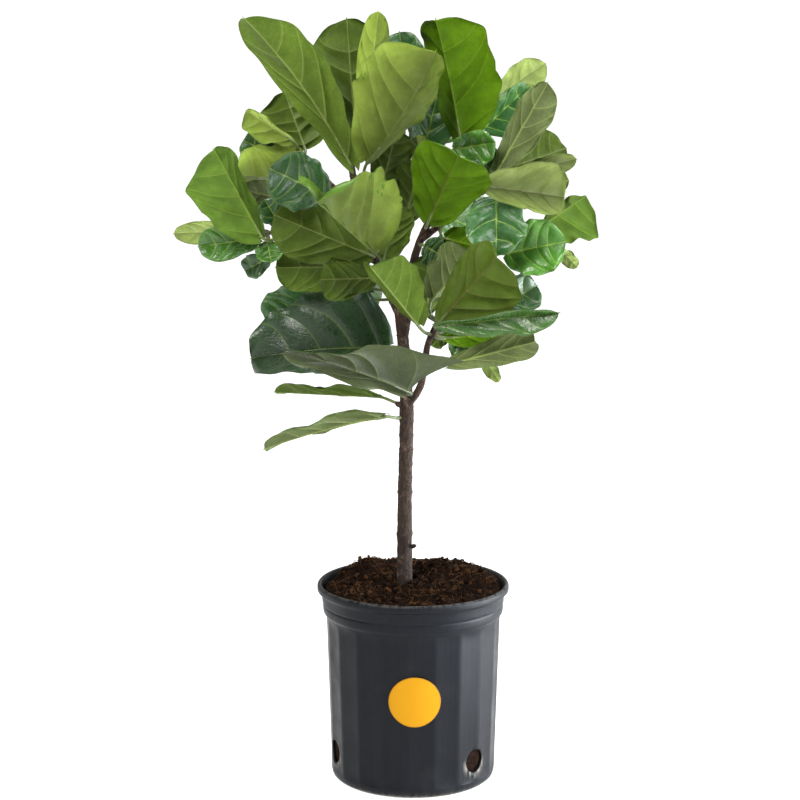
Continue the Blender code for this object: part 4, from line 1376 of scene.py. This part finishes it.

# Leaf by leaf, light mixes each leaf's own tone with painted light and shade; tip_painted_light and
# half_painted_light are painted light and bowl is painted shade.
LOOKS: dict[str, Look] = {
    "leaf_long_top_left": Look(tip_painted_light=0.25, light=1.05, bowl=0.4),
    "leaf_top_centre": Look(light=0.72),
    "leaf_folded_top": Look(light=1.5, point=0.008),
    "leaf_bright_bowl": Look(light=0.58, tip_painted_light=0.3, half_painted_light=0.25, bowl=0.9),
    "leaf_top_right": Look(light=0.78, half_painted_light=-0.2, point=0.006),
    "leaf_glossy_upper_right": Look(light=2.5),
    "leaf_small_upper_right": Look(light=1.2),
    "round_right": Look(light=0.75),
    "folded_right": Look(light=0.44, tip_painted_light=0.6, point=0.006, bowl=0.8),
    "leaf_pale_shell": Look(light=0.6, rust=0.45, half_painted_light=-0.2, quilt=1.4, bowl=1.0),
    "folded_left": Look(light=0.95, point=0.006),
    "leaf_left_bowl": Look(light=0.85, tip_painted_light=0.5, bowl=0.9),
    "round_left": Look(light=0.76),
    "leaf_far_left": Look(light=1.05, point=0.006),
    "leaf_dark_left": Look(light=0.9, quilt=0.6),
    "leaf_grey_left": Look(light=0.65),
    "leaf_bright_middle": Look(light=0.62, freckle=1.0, rust=0.25, tip_painted_light=-0.2, quilt=1.3, bowl=0.8),
    "leaf_wide_middle_left": Look(light=0.62),
    "leaf_middle_right": Look(light=0.82, rust=0.8, freckle=0.4, bowl=0.4),
    "leaf_small_middle": Look(light=0.85),
    "leaf_inner_olive": Look(light=0.62),
    "leaf_inner_dark": Look(light=0.7),
    "leaf_glossy_hanging": Look(light=1.6, quilt=1.1),
    "leaf_round_right": Look(light=1.7, quilt=0.5),
    "leaf_far_right": Look(light=1.1, point=0.006),
    "leaf_grey_right": Look(light=1.1),
    "leaf_brown_veined": Look(light=0.80, rust=0.9, freckle=0.6),
    "leaf_flat_right": Look(light=0.68, quilt=0.5),
    "leaf_vivid_low_right": Look(light=1.2),
    "leaf_great_lower": Look(light=0.32, quilt=0.7, bowl=0.8),
    "leaf_great_dark": Look(light=0.46, quilt=0.3, bowl=0.5),
    "leaf_glossy_low_left": Look(light=1.6),
    "leaf_olive_left": Look(light=0.9),
    "leaf_olive_small": Look(light=0.5),
    "leaf_edge_on_lower": Look(light=0.8),
    "leaf_hooked_right": Look(light=1.4),
    "leaf_tall_right": Look(light=1.12, bowl=0.4),
    "curled_inner": Look(light=0.7),
    "dark_inner": Look(light=0.5),
    "olive_centre": Look(light=0.8),
}


@dataclass
class Wood:
    """The lines that the branches and twigs follow."""

    branches: dict[str, Branch]
    twigs: dict[str, Twig]
    route_points: int = 60
    twig_gap: float = 0.0008
    straight_start: float = 0.003

    def route(self, name: str, count: int) -> tuple[Array, Array]:
        """The line of a branch or twig and its radius along it.

        Args:
            name: Name of the branch or twig.
            count: Number of points along it.

        Returns:
            The points and the radii.
        """
        if name in self.branches:
            grown = self.branches[name]
            line = curve_through([sight(*p) for p in grown.points], count)
        else:
            grown = self.twigs[name]
            whole, _ = self.route(grown.branch, self.route_points)
            heading = unit(whole[-1] - whole[-2])
            start = whole[-1] + heading * self.twig_gap
            line = curve_through([start] + [sight(*p) for p in grown.points], count)
            line = np.insert(line, 1, start + heading * self.straight_start / 2, axis=0)
        return line, np.linspace(grown.foot_radius, grown.tip_radius, len(line))


@dataclass
class WoodyStem:
    """The trunk and its branches, with rough bark, leaf scars and two cut stubs."""

    wood: Wood
    sides: int = 20
    step: float = 0.0024
    roughness: float = 0.07
    slim_foot: float = 0.15
    scar_spacing: float = 0.019
    finish: BarkFinish = BarkFinish()
    stubs: tuple[tuple[Point, Point, float], ...] = (
        ((-0.014, 0.502, 0.0), (-0.0225, 0.505, -0.008), 0.0034),
        ((-0.002, 0.312, -0.004), (0.0035, 0.314, -0.012), 0.0028),
    )

    def build(self) -> bpy.types.Object:
        """Builds and dresses the stem.

        Returns:
            The stem.
        """
        shape = Shape()
        for number, name in enumerate(self.wood.branches):
            coarse, _ = self.wood.route(name, 24)
            length = np.linalg.norm(np.diff(coarse, axis=0), axis=1).sum()
            line, radii = self.wood.route(name, max(12, int(length / self.step)))
            self.add_bark(shape, line, radii, number)
        for number, (foot, tip, radius) in enumerate(self.stubs, 20):
            line = np.linspace(sight(*foot), sight(*tip), 7)
            self.add_bark(shape, line, np.linspace(radius * 1.25, radius, 7), number)
        stem = shape.make("woody_stem", [self.finish.material()])
        seat(stem, "bark", "stem")
        return stem

    def add_bark(self, shape: Shape, line: Array, radii: Array, number: int) -> None:
        """Adds one branch with ridges along it and a ring at each leaf scar.

        Args:
            shape: Where it goes.
            line: Its points.
            radii: Its radius at each point.
            number: Seed of its own pattern.
        """
        along = np.concatenate([[0.0], np.cumsum(np.linalg.norm(np.diff(line, axis=0), axis=1))])
        angle = np.linspace(0, 2 * np.pi, self.sides, endpoint=False)
        rough = np.empty((len(line), self.sides))
        for i, far in enumerate(along):
            for j, turn in enumerate(angle):
                where = Vector((math.cos(turn) * 1.7 + number * 9, math.sin(turn) * 1.7, far * 95.0))
                rough[i, j] = noise.fractal(where, 0.7, 2.2, 4)
        scars = np.abs((along / self.scar_spacing + 0.13 * number) % 1.0 - 0.5) * 2
        rings = 0.09 * np.exp(-(((1 - scars) / 0.10) ** 2))
        ends = np.clip(np.minimum(along + 0.004, along[-1] - along + 0.001) / 0.004, 0.25, 1)
        slim = 1 - self.slim_foot * np.clip((0.50 - line[:, 2]) / 0.08, 0, 1)
        swell = (radii * slim)[:, None] * (1 + self.roughness * rough + rings[:, None])
        foot = np.clip((line[:, 2] - 0.25) / 0.45, 0, 1)
        shape.add_tube(line, swell * ends[:, None] ** 0.4, self.sides, height=foot)


@dataclass
class Blade:
    """The fine mesh of one leaf: a veined, quilted blade with two faces and a thin rim, and its stalk."""

    leaf: Leaf
    number: int
    wood: Wood
    look: Look = Look()
    half_thickness: float = 0.00034
    slant: float = 0.60
    slant_start: float = 0.06
    quilt: float = 0.044
    roll: float = 0.030
    billow: float = 0.036
    point_length: float = 0.028
    point_width: float = 0.0050
    fullness: float = 2.2
    waist_place: float = 0.25
    waist_spread: float = 0.15
    uneven: Pair = (0.03, 0.014)
    uneven_turns: Pair = (1.7, 4.1)
    crimp: float = 0.022
    crimp_turns: Pair = (3.2, 9.0)
    ending: float = 0.965
    rib_sink: float = 0.00032
    vein_sink: float = 0.00022
    rib_rise: float = 0.00110
    vein_rise: float = 0.00045
    rib_width: float = 0.0013
    vein_width: float = 0.00055
    stalk_radius: float = 0.0021
    stalk_gap: float = 0.0006
    stalk_sink: float = 0.014
    twig_bare: int = 12
    bends: Pair = (0.30, 0.35)

    def frame(self) -> tuple[Array, Array, Array, Array, float]:
        """The directions that the blade is built on.

        Returns:
            Base point, direction along, upper side's normal, sideways direction and length.
        """
        base, tip = sight(*self.leaf.base), sight(*self.leaf.tip)
        length = float(np.linalg.norm(tip - base))
        along = (tip - base) / length
        view = unit(EYE - (base + tip) / 2)
        level = unit(view - along * view.dot(along))
        turn = math.radians(self.leaf.face)
        up = math.cos(turn) * level + math.sin(turn) * np.cross(along, level)
        return base, along, up, np.cross(along, up), length

    def midrib(self, t: Array) -> tuple[Array, Array, Array, Array]:
        """Places, directions along and across, and normals on the midrib.

        Args:
            t: Shares of the way from base to tip, in an array of any shape.

        Returns:
            Four arrays of vectors, each of t's shape.
        """
        leaf = self.leaf
        base, along, up, side, length = self.frame()
        t = np.asarray(t, float)[..., None]
        late = np.clip((t - 0.6) / 0.4, 0, None)
        bow = leaf.arch * 4 * t * (1 - t) - leaf.hook * late**2
        slope = leaf.arch * 4 * (1 - 2 * t) - leaf.hook * 2 * late / 0.4
        place = base + along * length * t + up * bow + side * (leaf.sway * 4 * t * (1 - t))
        heading = along * length + up * slope + side * (leaf.sway * 4 * (1 - 2 * t))
        heading = heading / np.linalg.norm(heading, axis=-1, keepdims=True)
        across = side - heading * (heading @ side)[..., None]
        across = across / np.linalg.norm(across, axis=-1, keepdims=True)
        return place, heading, across, np.cross(across, heading)

    def half_width(self, t: Array) -> Array:
        """Half width of the fiddle outline, before skew and flare.

        Args:
            t: Shares of the way from base to tip.

        Returns:
            The half widths.
        """
        widest = self.leaf.widest
        away = np.where(t < widest, 1 - t / widest, (t - widest) / (1 - widest))
        body = np.sqrt(np.clip(1 - np.clip(away, 0, 1) ** self.fullness, 0, 1))
        waist = self.leaf.waist * np.exp(-(((t - self.waist_place) / self.waist_spread) ** 2))
        phase = np.random.default_rng(self.number + 100).uniform(0, 2 * np.pi)
        slow, quick = (2 * np.pi * turns * t for turns in self.uneven_turns)
        uneven = 1 + self.uneven[0] * np.sin(slow + phase) + self.uneven[1] * np.sin(quick + 2 * phase)
        whole = np.clip(body * (1 - waist), 0, 1) * uneven * self.leaf.width / 2
        left = np.clip((1 + self.point_length - t) / (self.point_length + 0.05), 0, 1)
        point = self.point_width * left**1.5
        return np.maximum(whole, point)

    def middle(self, t: Array, across: Array) -> Array:
        """Points of the blade's middle surface.

        Args:
            t: Shares of the way from base to tip.
            across: Places from the blade's own left edge, -1, to its right edge, 1.

        Returns:
            One point for each t and across.
        """
        leaf = self.leaf
        length = self.frame()[4]
        place, along, side, up = self.midrib(t)
        right = across > 0
        u = np.abs(across)
        reach = self.half_width(t) * (1 + leaf.skew * np.where(right, 1, -1))
        reach = reach * (1 + np.where(right, leaf.flare[1], leaf.flare[0]) * (1 - 2 * t))
        fold = np.radians(np.where(right, leaf.fold[1], leaf.fold[0]))
        cup = np.radians(np.where(right, leaf.cup[1], leaf.cup[0]))
        out = (np.sin(fold + cup * u) - np.sin(fold)) / cup
        rise = (np.cos(fold) - np.cos(fold + cup * u)) / cup
        phase = np.random.default_rng(self.number).uniform(0, 2 * np.pi, 2)
        turn = 2 * np.pi * (1.6 + 0.4 * right) * t + np.where(right, phase[1], phase[0])
        ripple = leaf.wave * u**2 * np.sin(turn) * np.sin(np.pi * np.clip(t, 0.04, 0.96)) ** 0.5
        fine = 2 * np.pi * (self.crimp_turns[0] + self.crimp_turns[1] * leaf.width) * t
        fine = fine + 2 * phase[0] + 2.1 * right
        crimp = self.crimp * leaf.width * u**3 * np.sin(fine)
        back = np.where(right, leaf.ear[1], leaf.ear[0]) * length * u**2 * np.exp(-t / 0.09)
        outward = side * (np.sign(across) * reach * out)[..., None]
        swell = np.sin(2 * np.pi * (1.15 * t + 0.30 * across) + 3 * phase[1]) * np.clip(4 * t, 0, 1)
        waves = ripple + crimp * np.clip(t * 8, 0, 1) + self.billow * leaf.width * u * swell
        lift = reach * rise + waves * np.clip(reach / (0.12 * leaf.width), 0, 1)
        return place + outward + up * lift[..., None] - along * back[..., None]

    def veins(self, right: int) -> Array:
        """Where one half's side veins leave the midrib.

        Args:
            right: 1 for the right half, 0 for the left half.

        Returns:
            Their places, from 0 at the base to 1 at the tip.
        """
        count = 3 if self.frame()[4] < 0.075 else 4
        random = np.random.default_rng(self.number * 2 + right + 200)
        places = np.linspace(0.030, 0.72, count) + random.uniform(-0.035, 0.035, count)
        places[0] = 0.024 + 0.010 * right
        return places

    def lean(self, s: Array, u: Array) -> Array:
        """How far towards the tip a row has moved at a share u of the way out to the rim."""
        start = 1 - np.exp(-s / self.slant_start)
        return self.slant * (0.50 * u + 0.50 * u**2) * start * np.clip(1 - s, 0, 1)

    def rows(self) -> Array:
        """The mesh's rows, closer together beside each side vein and at both ends.

        Returns:
            Their places along the midrib, from 0 at the base to just past 1 at the tip.
        """
        veins = np.concatenate([self.veins(0), self.veins(1)])
        first = 0.085 * np.linspace(0, 1, 20) ** 1.35
        middle = np.linspace(0.085, 0.93, 30)[1:]
        last = 1 - 0.07 * np.linspace(1, 0, 11)[1:] ** 1.7
        point = 1 + self.point_length * np.array((0.3, 0.6, 0.85, 1.0))
        values = np.concatenate([first, middle, last, point])
        stretch = 1 + 0.5 * self.slant * np.exp(-veins / self.slant_start) / self.slant_start
        shoulders = self.vein_width * 1.5 / self.frame()[4] / stretch
        near = np.abs(values[:, None] - veins) < 0.7 * shoulders
        values = values[~near.any(axis=1)]
        values = np.sort(np.concatenate([values, veins - shoulders, veins, veins + shoulders]))
        return values[np.concatenate([[True], np.diff(values) > 0.0006])]

    def between(self, s: Array, veins: Array) -> tuple[Array, Array]:
        """Where rows lie between one half's side veins.

        Args:
            s: The rows.
            veins: Where the half's side veins leave the midrib.

        Returns:
            The share of the way from one vein to the next, and the distance to the nearest vein.
        """
        marks = np.concatenate([[-0.02], veins, [1.0]])
        gap = np.clip(np.searchsorted(marks, s, side="right") - 1, 0, len(marks) - 2)
        share = np.clip((s - marks[gap]) / (marks[gap + 1] - marks[gap]), 0, 1)
        return share, np.abs(s[..., None] - veins).min(axis=-1)

    def columns(self) -> Array:
        """The mesh's columns, closer together at the midrib and at the rim.

        Returns:
            Their places across the blade, from -1 to 1.
        """
        half = self.leaf.width / 2
        near = np.array((0.0008, 0.0018, 0.0038)) / half
        out = np.concatenate([near, np.linspace(0.16, 0.90, 8), [1 - 0.0030 / half, 1 - 0.0012 / half, 1.0]])
        out = np.sort(out)
        return np.concatenate([-out[::-1], [0.0], out])

    def add_to(self, shape: Shape, blade_slot: int, stalk_slot: int) -> None:
        """Adds the blade and its stalk to a shape.

        Args:
            shape: Where they go.
            blade_slot: The blade's material slot.
            stalk_slot: The stalk's material slot.
        """
        length = self.frame()[4]
        s, across = np.meshgrid(self.rows(), self.columns(), indexing="ij")
        u = np.abs(across)
        t = s + self.lean(s, u)
        half = self.half_width(t)
        left, right = self.between(s, self.veins(0)), self.between(s, self.veins(1))
        share, near = (np.where(across > 0, b, a) for a, b in zip(left, right))
        puff = np.sin(np.pi * share) ** 1.2 * np.sin(np.pi * np.clip(u, 0, 1) ** 0.8) ** 0.8
        points = self.middle(t, across)
        normal = np.cross(np.gradient(points, axis=1), np.gradient(points, axis=0))
        normal /= np.linalg.norm(normal, axis=-1, keepdims=True) + 1e-12
        ending = np.clip((t - self.ending) / 0.02, 0, 1)[..., None]
        normal = normal * (1 - ending) + self.midrib(t)[3] * ending
        width = self.leaf.width
        rolled = self.roll * np.clip((u - 0.80) / 0.20, 0, 1) ** 2 * np.clip(half / (0.3 * width), 0, 1)
        tip = np.clip((t - 1) / self.point_length, 0, 1)
        lift = width * (self.quilt * self.look.quilt * puff - rolled) + self.look.point * tip**2
        points = points + normal * lift[..., None]

        step = 1e-4
        row_gap = (self.lean(s + step, u) - self.lean(s, u)) / step + 1
        climb = (self.lean(s, u + step) - self.lean(s, u)) / step * length / np.maximum(half, 1e-4)
        rib = np.exp(-((u * half / (self.rib_width * np.clip(1.15 - 0.75 * t, 0.3, 1.2))) ** 2))
        away = near * length * row_gap / np.sqrt(1 + climb**2)
        vein = np.exp(-((away / self.vein_width) ** 2)) * (1 - 0.70 * u) * (u < 0.97)
        vein = vein * np.clip(1.15 - 0.35 * s, 0, 1)
        upper_lift = -self.rib_sink * rib - self.vein_sink * vein
        under_lift = self.rib_rise * rib * np.clip(1.1 - 0.8 * t, 0.2, 1) + self.vein_rise * vein
        edge = (1 - u) * half
        thick = self.half_thickness * np.clip(0.35 + edge / 0.0015, 0, 1)
        top = points + normal * (thick + upper_lift)[..., None]
        bottom = points - normal * (thick + under_lift)[..., None]

        phase = np.random.default_rng(self.number).uniform(0, 1)
        # Painted light and shade: each leaf's brightness, lighter towards its tip and its right half and
        # darker at its midrib, goes into its colour.
        light = self.look.light * (1 + self.look.tip_painted_light * (t - 0.5) + self.look.half_painted_light * across)
        light = light * (1 + self.look.bowl * (u**1.5 - 0.4))
        shared = {
            "vein": np.clip(np.maximum(0.9 * rib, 0.75 * vein) - tip, 0, 1),
            "rim": 0.55 * np.exp(-((edge / 0.0009) ** 2)) * np.clip(half / 0.008, 0, 1),
            "across": across * half + phase,
            "along": t * length,
            "light": light,
            "rust": np.full(s.shape, self.look.rust),
            "freckle": np.full(s.shape, self.look.freckle),
        }
        shape.add_grid(top[:, ::-1], blade_slot, upper=1.0, **{k: v[:, ::-1] for k, v in shared.items()})
        shape.add_grid(bottom, blade_slot, upper=0.0, **shared)
        self.add_rim(shape, top, bottom, shared, blade_slot)
        line = self.stalk_line()
        swell = 1 + 0.30 * np.exp(-np.linspace(0, 1, len(line)) / 0.06)
        taper = np.interp(np.linspace(0, 1, len(line)), (0, 0.75, 1), (1.0, 0.95, 0.45))
        names = dict.fromkeys(("upper", "vein", "rim", "across", "along", "freckle"), 0.0)
        brown = np.interp(np.linspace(0, 1, len(line)), (0, 0.25, 1), (0.8, 0.35, 0.1))
        radii = self.stalk_radius * swell * taper
        shape.add_tube(line, radii, 10, stalk_slot, light=self.look.light, rust=brown, **names)

    def add_rim(self, shape: Shape, top: Array, bottom: Array, shared: dict[str, Array], slot: int) -> None:
        """Adds the strip that joins the two faces round the blade's edge.

        Args:
            shape: Where it goes.
            top: Points of the upper face.
            bottom: Points of the underside.
            shared: Values at the points.
            slot: Material slot.
        """

        def around(grid: Array) -> Array:
            """The grid's border, as one closed line."""
            return np.concatenate([grid[:, -1], grid[-1, ::-1][1:], grid[::-1, 0][1:], grid[0][1:-1]])

        strip = np.stack([around(bottom), around(top)], axis=0)
        values = {name: np.stack([around(value)] * 2) for name, value in shared.items()}
        shape.add_grid(strip, slot, closed=True, upper=0.5, **values)

    def stalk_line(self) -> Array:
        """The stalk's line, from its branch's bark into the blade's base.

        Returns:
            Its points.
        """
        line, radius = self.wood.route(self.leaf.branch, self.wood.route_points)
        woody = self.leaf.branch in self.wood.branches
        place, along, _, up = self.midrib(np.array((0.0, 0.01)))
        base, heading = place[0], along[0]
        away = np.linalg.norm(line - base, axis=1)
        nearest = int(away.argmin())
        step = np.linalg.norm(np.diff(line, axis=0), axis=1).mean()
        lowest = 1 if woody else self.twig_bare
        down = int(self.leaf.climb * away[nearest] / step)
        k = max(lowest, min(self.wood.route_points - 2, nearest - down))
        axis = unit(line[k + 1] - line[k - 1])
        out = base - line[k]
        out = unit(out - axis * out.dot(axis))
        foot = line[k] + out * (radius[k] * 0.7)
        start = line[k] + out * (radius[k] + self.stalk_gap + self.wood.straight_start)
        reach = float(np.linalg.norm(base - start))
        a = start + out * reach * self.bends[0]
        b = base - heading * reach * self.bends[1]
        u = np.linspace(0, 1, 22)[:, None]
        bend = start * (1 - u) ** 3 + 3 * a * u * (1 - u) ** 2 + 3 * b * u**2 * (1 - u) + base * u**3
        sunk, _, _, normal = self.midrib(np.linspace(0.02, 0.16, 6))
        sunk = sunk - normal * np.linspace(0.0003, 0.0002, 6)[:, None]
        return np.vstack([foot, bend, sunk])


@dataclass
class Foliage:
    """Every leaf, with the twigs that carry the leaves of a spray."""

    wood: Wood
    leaves: list[Leaf]
    looks: dict[str, Look]
    nodes: frozenset[str]
    young: list[Leaf]
    stalk: StalkFinish = StalkFinish()

    def build(self) -> list[bpy.types.Object]:
        """Builds and dresses the leaves, one piece for each leaf or spray.

        Returns:
            The pieces.
        """
        tones = [finish.tone for finish in LEAF_FINISHES]
        materials = [finish.material() for finish in LEAF_FINISHES] + [self.stalk.material()]
        stalk_slot = len(tones)
        shapes: dict[str, Shape] = {}
        blank = dict.fromkeys(("upper", "vein", "rim", "across", "along", "freckle"), 0.0)
        for name in self.wood.twigs:
            line, radii = self.wood.route(name, 30)
            line = np.vstack([line[0] - (line[1] - line[0]) * 2, line])
            radii = np.concatenate([radii[:1], radii]) * (1 + 0.06 * np.sin(np.arange(len(line)) * 1.9))
            shapes[name] = Shape()
            shapes[name].add_tube(line, radii, 12, stalk_slot, light=0.9, rust=0.55, **blank)
        for number, leaf in enumerate(self.leaves + self.young, 1):
            home = leaf.branch if leaf.branch in self.wood.twigs else leaf.name
            if leaf in self.young:
                home = "young_leaves"
            blade = Blade(leaf, number, self.wood, self.looks.get(leaf.name, Look()))
            blade.add_to(shapes.setdefault(home, Shape()), tones.index(leaf.tone), stalk_slot)
        pieces = []
        for name, shape in shapes.items():
            piece = shape.make(f"{name}_fresh", materials)
            drop_unused_slots(piece)
            tone = next((leaf.tone for leaf in self.leaves if leaf.name == name), Tone.MID)
            seat(piece, tone.slot, *([name] if name in self.nodes else []))
            pieces.append(piece)
        return pieces


def drop_unused_slots(piece: bpy.types.Object) -> None:
    """Leaves only the material slots that the piece's faces use.

    Args:
        piece: The piece.
    """
    index = np.empty(len(piece.data.polygons), np.int32)
    piece.data.polygons.foreach_get("material_index", index)
    used = sorted(set(index.tolist()))
    kept = [piece.data.materials[k] for k in used]
    piece.data.materials.clear()
    for material in kept:
        piece.data.materials.append(material)
    piece.data.polygons.foreach_set("material_index", np.searchsorted(used, index).astype(np.int32))


@dataclass(frozen=True)
class Lamp:
    """A square soft light, with its power in watts and its spread in radians."""

    name: str
    place: Point
    aim: Point
    size: float
    power: float
    colour: Colour
    spread: float = math.pi


@dataclass
class Studio:
    """The camera at the photograph's view, a pale floor and soft lights."""

    place: Point = (-0.0173, -3.1, 1.080)
    pitch: float = 0.182
    lens: float = 108.45
    floor_reach: float = 120.0
    sky_front: float = 0.12
    sky_back: float = 0.50
    finish: FloorFinish = FloorFinish()
    lamps: tuple[Lamp, ...] = (
        Lamp("key", (-1.5, -2.3, 2.7), (0.0, 0.0, 0.70), 1.3, 120.0, (1.0, 0.985, 0.95)),
        Lamp("side", (2.0, -1.4, 1.2), (0.0, 0.0, 0.45), 1.2, 60.0, (0.93, 0.965, 1.0)),
        Lamp("low panel", (0.95, 0.0, 0.13), (0.0, 0.0, 0.12), 0.9, 12.0, (0.90, 0.95, 1.0), 1.1),
        Lamp("top", (0.3, 0.4, 3.2), (0.0, 0.0, 0.8), 1.6, 95.0, (1.0, 1.0, 1.0)),
    )

    def build(self) -> None:
        """Places the camera, the floor, the sky and the lights."""
        scene = bpy.context.scene
        camera = bpy.data.objects.new("camera", bpy.data.cameras.new("camera"))
        camera.data.lens = self.lens
        camera.data.sensor_width = 36.0
        camera.location = self.place
        camera.rotation_euler = (math.pi / 2 - self.pitch, 0.0, 0.0)
        scene.collection.objects.link(camera)
        scene.camera = camera
        scene.view_settings.view_transform = "Standard"
        self.lay_floor()
        self.light_sky()
        for lamp in self.lamps:
            self.add_lamp(lamp)
        self.add_sun("wash", (0.35, 0.75, -1.0), 1.2, 0.5)

    def lay_floor(self) -> None:
        """Adds the floor, just under the pot."""
        mesh = bpy.data.meshes.new("floor")
        far = self.floor_reach
        corners = [(x * far, y * far, -0.0004) for x, y in ((-1, -1), (1, -1), (1, 1), (-1, 1))]
        mesh.from_pydata(corners, [], [(0, 1, 2, 3)])
        floor = bpy.data.objects.new("floor", mesh)
        bpy.context.scene.collection.objects.link(floor)
        mesh.materials.append(self.finish.material())

    def light_sky(self) -> None:
        """Gives the world a white light, weaker from the front, so that the dark pot keeps its depth."""
        world = bpy.data.worlds.new("white_sky")
        world.use_nodes = True
        tree = world.node_tree
        background = tree.nodes["Background"]
        background.inputs["Color"].default_value = (1.0, 1.0, 1.0, 1.0)
        ways = tree.nodes.new("ShaderNodeTexCoord")
        parts = tree.nodes.new("ShaderNodeSeparateXYZ")
        fade = tree.nodes.new("ShaderNodeMapRange")
        fade.interpolation_type = "SMOOTHSTEP"
        for socket, number in zip(list(fade.inputs)[1:5], (-0.75, 0.25, self.sky_front, self.sky_back)):
            socket.default_value = number
        tree.links.new(ways.outputs["Generated"], parts.inputs["Vector"])
        tree.links.new(parts.outputs["Y"], fade.inputs["Value"])
        tree.links.new(fade.outputs["Result"], background.inputs["Strength"])
        bpy.context.scene.world = world

    def add_lamp(self, lamp: Lamp) -> None:
        """Adds a square soft light.

        Args:
            lamp: The light.
        """
        data = bpy.data.lights.new(lamp.name, "AREA")
        data.size, data.energy, data.color, data.spread = lamp.size, lamp.power, lamp.colour, lamp.spread
        light = bpy.data.objects.new(lamp.name, data)
        light.location = lamp.place
        light.rotation_euler = (Vector(lamp.aim) - Vector(lamp.place)).to_track_quat("-Z", "Y").to_euler()
        bpy.context.scene.collection.objects.link(light)

    def add_sun(self, name: str, way: Point, angle: float, strength: float) -> None:
        """Adds a very soft sun, which lights the floor evenly.

        Args:
            name: Name of the light.
            way: Direction in which it shines.
            angle: Its size as seen from the ground, in radians.
            strength: Its strength.
        """
        data = bpy.data.lights.new(name, "SUN")
        data.angle, data.energy = angle, strength
        light = bpy.data.objects.new(name, data)
        light.rotation_euler = Vector(way).to_track_quat("-Z", "Y").to_euler()
        bpy.context.scene.collection.objects.link(light)


def main() -> None:
    """Loads the frame, builds every piece over it and logs the frame's node count and each piece's face
    count.
    """
    logging.basicConfig(level=logging.INFO, format="%(message)s")
    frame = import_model()
    LOG.info("frame: %d nodes", len(frame["nodes"]))
    Studio().build()
    pot = NurseryPot()
    pieces = [pot.build(), *PottingSoil(pot).build(), RoundSticker(pot).build()]
    wood = Wood(BRANCHES, TWIGS)
    pieces.append(WoodyStem(wood).build())
    pieces += Foliage(wood, LEAVES, LOOKS, frozenset(frame["nodes"]), YOUNG_LEAVES).build()
    for piece in pieces:
        LOG.info("%s: %d faces", piece.name, len(piece.data.polygons))


if __name__ == "__main__":
    main()
